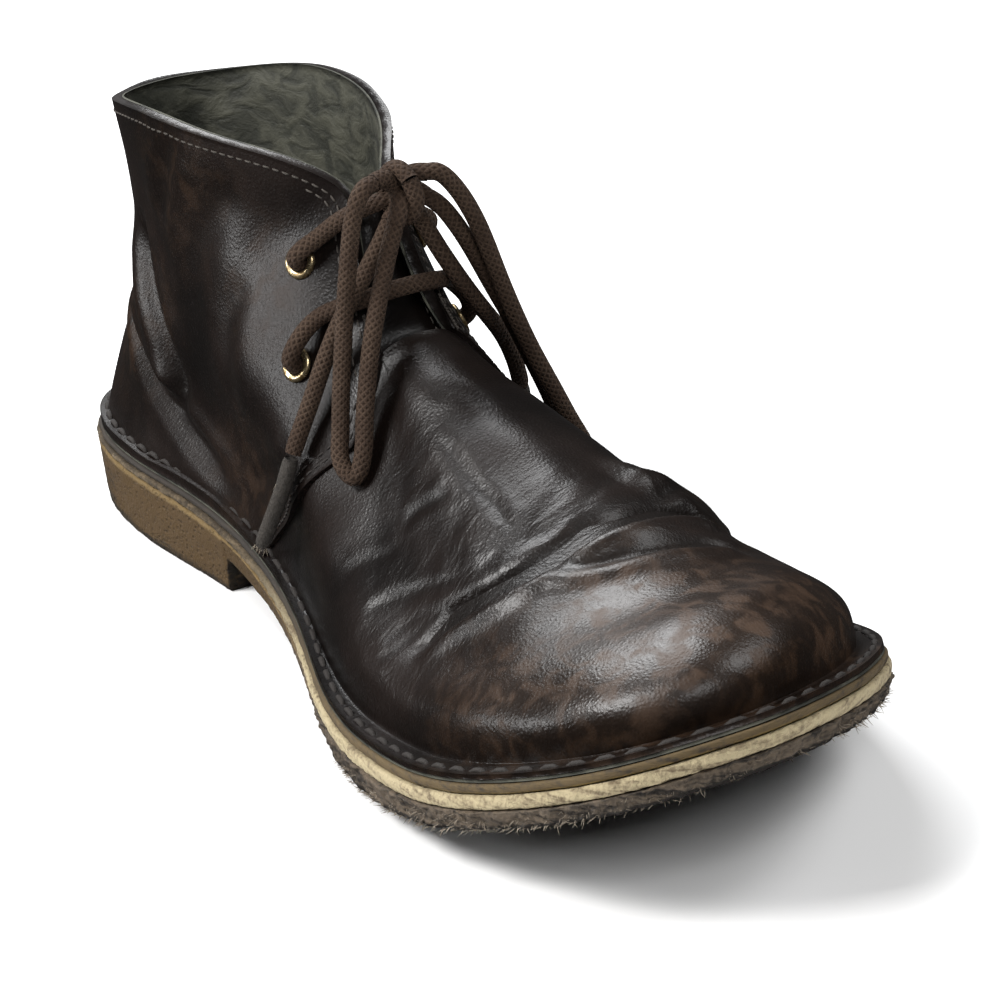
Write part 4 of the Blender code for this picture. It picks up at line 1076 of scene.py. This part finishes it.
thread_brown = thread("waxed_thread", WAXED_BROWNS, 0.8)
light_thread = thread("collar_thread", COLLAR_BROWNS, 0.7)
for name, down, first in COLLAR_ROWS:
    for label, side in SIDES:
        turn = on_side(np.linspace(first, COLLAR_CORNER, 160), side)
        spots, outs = beside(turn, np.ones(160), 0.0, down, QUARTER_STEP)
        stitch_row(f"{name}_{label}", spots, outs, COLLAR_STITCH, light_thread)
height = np.linspace(0.04, 0.965, 120)
for number, inset in enumerate(SEAM_INSETS):
    for label, side in SIDES:
        spots, outs = beside(on_side(seam_turn(height), side), height, -inset * side, 0.0, QUARTER_STEP)
        stitch_row(f"seam_row_{number}_{label}", spots, outs, FINE_STITCH, thread_brown)
for label, side in SIDES:
    over = np.linspace(*BAR_SPAN, 12) * -side
    turn = np.full(12, on_side(seam_turn(0.95), side))
    spots, outs = beside(turn, np.full(12, 0.955), over, 0.0, QUARTER_STEP + BAR_RISE)
    stitch_row(f"bartack_{label}", spots, outs, BAR_STITCH, light_thread)
height = np.linspace(0.10, 0.96, 90)
for number, over in enumerate(BACK_INSETS):
    spots, outs = beside(np.zeros(90), height, over, 0.0, QUARTER_STEP)
    stitch_row(f"back_row_{number}", spots, outs, FINE_STITCH, thread_brown)
turn = np.linspace(0.03, 1.97, 1400)
spot = outline(turn, EDGE_MARGIN + FLANGE_INSET)
deep = np.where(np.abs(turn - 1) < 1 - seam_turn(0.0), WALL, WALL + QUARTER_STEP)
spots = np.column_stack((spot, seat(station_of(spot[:, 1])) + deep))
stitch_row("flange_stitches", spots, np.tile((0.0, 0.0, 1.0), (1400, 1)), FLANGE_STITCH, thread_brown)

# Tongue
# A tongue of the same leather under the throat, sewn in under the vamp, with a row of stitches round
# its edge. It lies a little below the quarters and follows their inner face.
TONGUE_THICKNESS = 0.002
TONGUE_ROWS = (
    # turn, height of its border, turn and height of its ridge, bulge of the ridge, clearance
    (0.408, 0.82, 0.408, 1.000, 0.0006, 0.0015),
    (0.430, 0.82, 0.430, 1.000, 0.0008, 0.0015),
    (0.460, 0.82, 0.460, 1.000, 0.0008, 0.0015),
    (0.495, 0.83, 0.495, 1.000, 0.0006, 0.0015),
    (0.530, 0.84, 0.530, 1.000, 0.0000, 0.0018),
    (0.570, 0.85, 1.000, 0.975, 0.0000, 0.0019),
    (0.605, 0.86, 1.000, 0.935, 0.0000, 0.0019),
)
FORWARD = np.array((0, -0.85, 0.53))
TONGUE_GRID = (70, 44)
TONGUE_WAVE, TONGUE_FLEX = 0.0002, 0.35
STITCH_IN, STITCH_STOP = 3, 12
keys = np.linspace(0, 1, len(TONGUE_ROWS))
share = np.linspace(0, 1, TONGUE_GRID[0])
table = np.array(TONGUE_ROWS)
inner = wall_surface(table[:, 0], table[:, 1])
outer = wall_surface(2 - table[:, 0], table[:, 1])
ridge = (wall_surface(table[:, 2], table[:, 3]) + wall_surface(2 - table[:, 2], table[:, 3])) / 2
ridge = ridge + table[:, 4:5] * FORWARD
inner, outer, ridge, clearance = (smooth(keys, rail, share)[:, None]
                                  for rail in (inner, outer, ridge, table[:, 5:]))
across = np.linspace(-1, 1, TONGUE_GRID[1])[:, None]
face = ridge + (outer - inner) / 2 * across + ((outer + inner) / 2 - ridge) * across ** 2
inward = unit(np.cross(np.gradient(face, axis=0), np.gradient(face, axis=1)))
inward *= np.sign(inward[:, :, 1:2].mean())
tongue_top = face + inward * (clearance + TONGUE_WAVE * hills(face, 0.012, 51)[:, :, None])
tongue = skin_piece("soft_tongue", (tongue_top + inward * TONGUE_THICKNESS)[:, ::-1], tongue_top[:, ::-1],
                    leather, False,
                    marks={"worn": np.zeros(TONGUE_GRID), "sunk": np.zeros(TONGUE_GRID),
                           "flex": np.full(TONGUE_GRID, TONGUE_FLEX)}, soft_edge=0.0007)
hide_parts("tongue")
edge, looks = (np.concatenate((grid[-STITCH_STOP:1:-1, STITCH_IN], grid[1, STITCH_IN:-STITCH_IN],
                               grid[1:-STITCH_STOP, -STITCH_IN - 1])) for grid in (tongue_top, -inward))
stitch_row("tongue_stitches", edge, looks, COLLAR_STITCH, light_thread)

# Eyelets
# Four antique brass eyelets, rolled over at the rim and set through the quarters. Rubbing has left
# the rims bright and the hollows dark.
EYELET_FLANGE, EYELET_BORE, EYELET_THICKNESS, EYELET_SEAT = 0.0042, 0.0022, 0.0007, 0.0004
EYELET_DOME, EYELET_UNDER, EYELET_EDGE = 1.15, -0.0002, 0.0001
EYELET_SIDES = 40
BRASS_DARK, BRASS_BRIGHT = (0.20, 0.135, 0.06), (0.62, 0.50, 0.30)
brass, tree, shader = material("antique_brass")
rubbed = ranged(tree, clouds(tree, 0.0016, 4.0), 0.35, 0.62)
dress(tree, shader, mixed(tree, rubbed, BRASS_DARK, BRASS_BRIGHT),
      ranged(tree, rubbed, 0.0, 1.0, 0.48, 0.26), clouds(tree, 0.0008, 4.0), 0.00005)
shader.inputs["Metallic"].default_value = 0.95


def ring_piece(name, profile, centre, facing, finish, sides):
    """A closed profile of (radius, height) points turned about the way that facing looks."""
    side = unit(np.cross(facing, (0.0, 0.0, 1.0)))
    other = np.cross(facing, side)
    angle = np.linspace(0, 2 * np.pi, sides, endpoint=False)[:, None, None]
    radius, height = np.array(profile).T[:, None, :, None]
    points = centre + radius * (np.cos(angle) * side + np.sin(angle) * other) + height * facing
    quads = grid_faces(sides + 1, len(profile), True) % (sides * len(profile))
    return piece_from(name, points.reshape(-1, 3), quads, finish, merge=True)


eyelet_lift = WALL + QUARTER_STEP + EYELET_SEAT
roll = np.linspace(0, np.pi, 9)
middle, half_width = (EYELET_FLANGE + EYELET_BORE) / 2, (EYELET_FLANGE - EYELET_BORE) / 2
dome = np.column_stack((middle + half_width * np.cos(roll), EYELET_THICKNESS * EYELET_DOME * np.sin(roll)))
profile = [(EYELET_BORE, -eyelet_lift), (EYELET_BARREL, -eyelet_lift), (EYELET_BARREL, EYELET_UNDER),
           (EYELET_FLANGE - EYELET_EDGE, EYELET_UNDER)] + dome.tolist()
for row, (turn, height) in EYELETS.items():
    for label, side in SIDES:
        centre, facing = on_wall(on_side(turn, side), height, eyelet_lift)
        eyelet = ring_piece(f"brass_eyelet_{row}_{label}", profile, centre, facing, brass, EYELET_SIDES)
        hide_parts(f"eyelet_{row}_{label}")

# Lace over the tongue
# A round waxed cotton lace, braided, 4.2 mm thick. It comes up through each eyelet and crosses the
# tongue; from the upper eyelets it rises to the knot.
LACE_RADIUS = 0.0021
BARS = {
    # eyelet row: turns and heights that the bar passes over on the quarter, rise of its middle
    "lower": ((0.472, 0.76), (0.484, 0.93), 0.0040),
    "upper": ((0.421, 0.91), (0.420, 0.98), 0.0042),
}
BAR_LIFT = LACE_RADIUS + 0.0009
# Places at an eyelet: height, and distance towards the first stop. The start lies under the eyelet's
# seat, the others above its rim.
BAR_START = (-0.0030, -0.0004)
BAR_END = ((0.0005, 0.0), (0.0020, 0.0007), (0.0030, 0.0030))
KNOT_CENTRE = (2.0, 5.0, 111.1)
KNOT_UNDER = (0, 0.0030, -0.0022)
LACE_GROOVE_SHADE, LACE_BROWN, LACE_WORN = (0.029, 0.0170, 0.0108), (0.040, 0.0240, 0.0155), (0.058, 0.0370, 0.0245)
LACE_SIDES = 18
BRAID_STRANDS, BRAID_PACE = 8, 0.0017
waxed, tree, shader = material("waxed_lace")
separate = node(tree, "ShaderNodeSeparateXYZ")
tree.links.new(node(tree, "ShaderNodeUVMap", uv_map="cord").outputs["UV"], separate.inputs[0])
turn_share = maths(tree, "MULTIPLY", separate.outputs["X"], 2 * np.pi * BRAID_STRANDS)
run_share = maths(tree, "MULTIPLY", separate.outputs["Y"], 2 * np.pi / BRAID_PACE)
left = maths(tree, "SINE", maths(tree, "ADD", turn_share, run_share))
right = maths(tree, "SINE", maths(tree, "SUBTRACT", turn_share, run_share))
braid = maths(tree, "MAXIMUM", left, right)
lint = clouds(tree, 0.0007, 4.0)
worn_lace = ranged(tree, clouds(tree, 0.009, 3.0), 0.35, 0.7)
strand_colour = mixed(tree, worn_lace, LACE_BROWN, LACE_WORN)
# Painted shade: the grooves between the braid's strands are darker, on the same waves as the relief.
colour = mixed(tree, ranged(tree, braid, -0.4, 1.0), LACE_GROOVE_SHADE, strand_colour)
relief = maths(tree, "ADD", maths(tree, "MULTIPLY", braid, 0.35), maths(tree, "MULTIPLY", lint, 0.6))
dress(tree, shader, colour, 0.82, relief, 0.00045)
shader.inputs["Specular IOR Level"].default_value = 0.2


def cord_line(route, pace=0.0009):
    """A smooth curve through a route's points, with a point every pace metres or so."""
    route = np.asarray(route, float)
    knots = run_along(route)
    return smooth(knots, route, np.linspace(0, knots[-1], max(8, round(knots[-1] / pace) + 1)))


def cord_piece(name, line, radius, finish, sides=LACE_SIDES, flat=1.0, ends=1.0):
    """A tube round a line of points, with a UV map cord of the share round and metres along. Its side
    direction is carried along without twist. flat narrows it one way, ends narrows its two tips."""
    way = unit(np.gradient(line, axis=0))
    side = np.empty_like(line)
    side[0] = unit(np.cross(way[0], FORWARD))
    for i in range(1, len(line)):
        side[i] = unit(side[i - 1] - way[i] * way[i].dot(side[i - 1]))
    other = np.cross(way, side)
    run = run_along(line)
    tip = np.minimum(run, run[-1] - run) / radius
    thick = radius * (ends + (1 - ends) * np.clip(tip, 0, 1) ** 0.5)
    angle = np.linspace(0, 2 * np.pi, sides, endpoint=False)
    rings = line[:, None] + thick[:, None, None] * (
        np.cos(angle)[None, :, None] * side[:, None] + flat * np.sin(angle)[None, :, None] * other[:, None])
    points = np.concatenate((rings.reshape(-1, 3), line[[0, -1]]))
    quads = grid_faces(len(line), sides, True)
    first, last = np.arange(sides), np.arange(sides) + (len(line) - 1) * sides
    caps = [[len(points) - 2, (i + 1) % sides, i] for i in range(sides)]
    caps += [[len(points) - 1, last[i], last[(i + 1) % sides]] for i in range(sides)]
    made = piece_from(name, points, quads[:, ::-1].tolist() + caps, finish)
    corner = quads[:, ::-1]
    column, line_row = corner % sides, corner // sides
    column = np.where((column == 0) & (column.max(1) == sides - 1)[:, None], sides, column)
    layer = made.data.uv_layers.new(name="cord")
    values = np.stack((column / sides, run[line_row]), axis=-1).reshape(-1, 2)
    cap_values = np.zeros((len(caps) * 3, 2))
    layer.data.foreach_set("uv", np.concatenate((values, cap_values)).ravel())
    return made


knot_centre = np.array(KNOT_CENTRE) * MM
for row, (near, edge, bulge) in BARS.items():
    halves = []
    for _, side in SIDES:
        turn, height = EYELETS[row]
        centre, facing = on_wall(on_side(turn, side), height, eyelet_lift)
        stops = [on_wall(on_side(turn, side), height, WALL + QUARTER_STEP + BAR_LIFT)[0]
                 for turn, height in (near, edge)]
        lean = stops[0] - centre
        lean = unit(lean - facing * lean.dot(facing))
        ends = [centre + facing * BAR_START[0] + lean * BAR_START[1]] + [
            centre + facing * (EYELET_THICKNESS + up) + lean * out for up, out in BAR_END]
        halves.append(ends + stops)
    arch = (halves[0][-1] + halves[1][-1]) / 2 + bulge * FORWARD
    if row == "upper":
        arch = knot_centre + KNOT_UNDER
    route = np.array(halves[0] + [arch] + halves[1][::-1])
    bar = cord_piece(f"lace_{row}", cord_line(route), LACE_RADIUS, waxed)
    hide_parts(f"lace_bar_{row}")

# Bow
# The lace is tied in a bow that hangs to both sides: a loop and a free end each way, from one knot
# with a turn wrapped round it. Each end has a stiffened, frayed tip.
LOOP_INNER = (
    (-5.5, 2.4, 115.4), (-9.4, 0.8, 114.9), (-12.1, 0.2, 111.2), (-14.1, 0.2, 103.8),
    (-15.6, 0.4, 95.3), (-17.2, 0.4, 86.1), (-19.6, -1.4, 77.5), (-22.5, -4.2, 68.6),
    (-25.0, -7.0, 61.1), (-26.1, -10.0, 55.2), (-25.1, -12.4, 53.7), (-23.0, -12.8, 57.1),
    (-20.3, -10.4, 64.2), (-17.2, -7.6, 72.3), (-13.6, -5.2, 81.9), (-9.4, -2.8, 90.7),
    (-5.7, -1.4, 99.0), (-2.1, -0.2, 106.1),
)
END_INNER = (
    (-0.1, 6.2, 104.3), (-2.6, 5.8, 100.8), (-6.1, 5.4, 96.5), (-9.8, 5.2, 91.8),
    (-14.0, 5.3, 86.4), (-17.5, 6.0, 80.2), (-20.8, 6.4, 73.9), (-24.0, 6.6, 67.3),
    (-27.3, 6.9, 60.7), (-30.3, 7.0, 54.7),
)
AGLET_INNER = (
    (-30.7, 7.2, 53.6), (-32.9, 8.8, 46.1), (-34.6, 12.6, 37.7), (-36.1, 16.4, 29.9),
)
LOOP_OUTER = (
    (8.3, 3.2, 114.7), (10.6, 2.4, 114.6), (13.6, 1.8, 112.1), (16.6, 1.0, 107.3),
    (20.2, 0.0, 98.5), (23.1, -1.0, 88.3), (26.0, -2.0, 78.6), (29.9, -3.0, 67.7),
    (35.0, -3.5, 56.3), (39.9, -3.0, 46.2), (45.0, -0.6, 37.2), (47.1, 3.8, 33.8),
    (43.6, 5.5, 40.6), (38.4, 4.6, 52.2), (33.0, 3.4, 64.0), (28.3, 3.0, 74.6),
    (23.6, 3.2, 84.5), (19.3, 3.6, 93.9), (15.2, 4.4, 101.7), (11.6, 5.2, 106.5),
    (9.3, 5.9, 108.4),
)
END_OUTER = (
    (7.6, 8.9, 104.9), (9.3, 9.1, 102.4), (11.1, 7.4, 97.7), (13.9, 5.0, 90.9),
    (18.5, 4.6, 82.9), (25.2, 7.6, 74.1), (31.6, 11.4, 65.3), (35.5, 13.8, 56.8),
    (37.8, 16.2, 51.2),
)
AGLET_OUTER = (
    (38.0, 16.4, 50.8), (40.8, 19.8, 42.2), (42.8, 23.0, 34.4),
)
AGLET_RADIUS = 0.0019
AGLET_DARK, AGLET_BROWN = (0.014, 0.011, 0.009), (0.042, 0.035, 0.028)
WRAP = ((0.0004, -0.0046, 0.0038), (0.0012, -0.0058, -0.0006), (0.0008, -0.0040, -0.0048),
        (0.0, 0.0012, -0.0058), (-0.0008, 0.0044, -0.0020), (-0.0006, 0.0036, 0.0034),
        (0.0, -0.0006, 0.0058), (0.0006, -0.0048, 0.0036))
STRAND_TURN, STRAND_LAP, KNOT_PACE = 0.0036, 0.0005, 0.0006
KNOT_RADIUS, WRAP_FLAT = LACE_RADIUS * 1.02, 0.85
TIP_FIBRES_END, TIP_FIBRES_SIDE = 30, 16
TIP_FIBRES = TIP_FIBRES_END + TIP_FIBRES_SIDE
TIP_FIBRE_LENGTHS, TIP_FIBRE_WIDTH = (0.0008, 0.0022), 0.00020
TIP_SPREAD, TIP_SCATTER = 0.35, 0.0007

stiff_tip, tree, shader = material("lace_tip")
dress(tree, shader, mixed(tree, clouds(tree, 0.0016, 4.0), AGLET_DARK, AGLET_BROWN), 0.8,
      clouds(tree, 0.0007, 4.0), 0.0004)
knot = [cord_piece("knot_wrap", knot_centre + cord_line(WRAP, KNOT_PACE), KNOT_RADIUS, waxed, flat=WRAP_FLAT)]
joined = (LOOP_INNER, LOOP_INNER[::-1], LOOP_OUTER, LOOP_OUTER[::-1], END_INNER, END_OUTER)
for number, route in enumerate(joined):
    line = cord_line(np.array(route) * MM)
    away = unit(line[2] - line[0])
    stops = (knot_centre, line[0] - away * STRAND_TURN, line[0] + away * STRAND_LAP)
    knot.append(cord_piece(f"knot_strand_{number}", cord_line(stops, KNOT_PACE), KNOT_RADIUS, waxed))
for piece in knot:
    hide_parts("lace_knot")

for side, loop, end, tip in (("inner", LOOP_INNER, END_INNER, AGLET_INNER),
                             ("outer", LOOP_OUTER, END_OUTER, AGLET_OUTER)):
    tip_line = cord_line(np.array(tip) * MM)
    tip_piece = cord_piece(f"lace_tip_{side}", tip_line, AGLET_RADIUS, stiff_tip, ends=0.8)
    random = np.random.default_rng(61)
    pick = np.r_[np.full(TIP_FIBRES_END, len(tip_line) - 1),
                 random.integers(0, len(tip_line), TIP_FIBRES_SIDE)]
    ways = unit(tip_line[-1] - tip_line[-4]) + random.normal(0, TIP_SPREAD, (TIP_FIBRES, 3))
    roots = tip_line[pick] + random.normal(0, TIP_SCATTER, (TIP_FIBRES, 3))
    lengths = random.uniform(*TIP_FIBRE_LENGTHS, TIP_FIBRES)
    frayed = strands(f"frayed_tip_{side}", roots, ways, lengths, TIP_FIBRE_WIDTH, fuzz, 62)
    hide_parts(f"aglet_{side}")
    for kind, route, far in (("loop", loop, "knot"), ("end", end, "fitting")):
        line = cord_line(np.array(route) * MM)
        piece = cord_piece(f"bow_{kind}_{side}", line, LACE_RADIUS, waxed, ends=0.9)
        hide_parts(f"lace_{kind}_{side}")
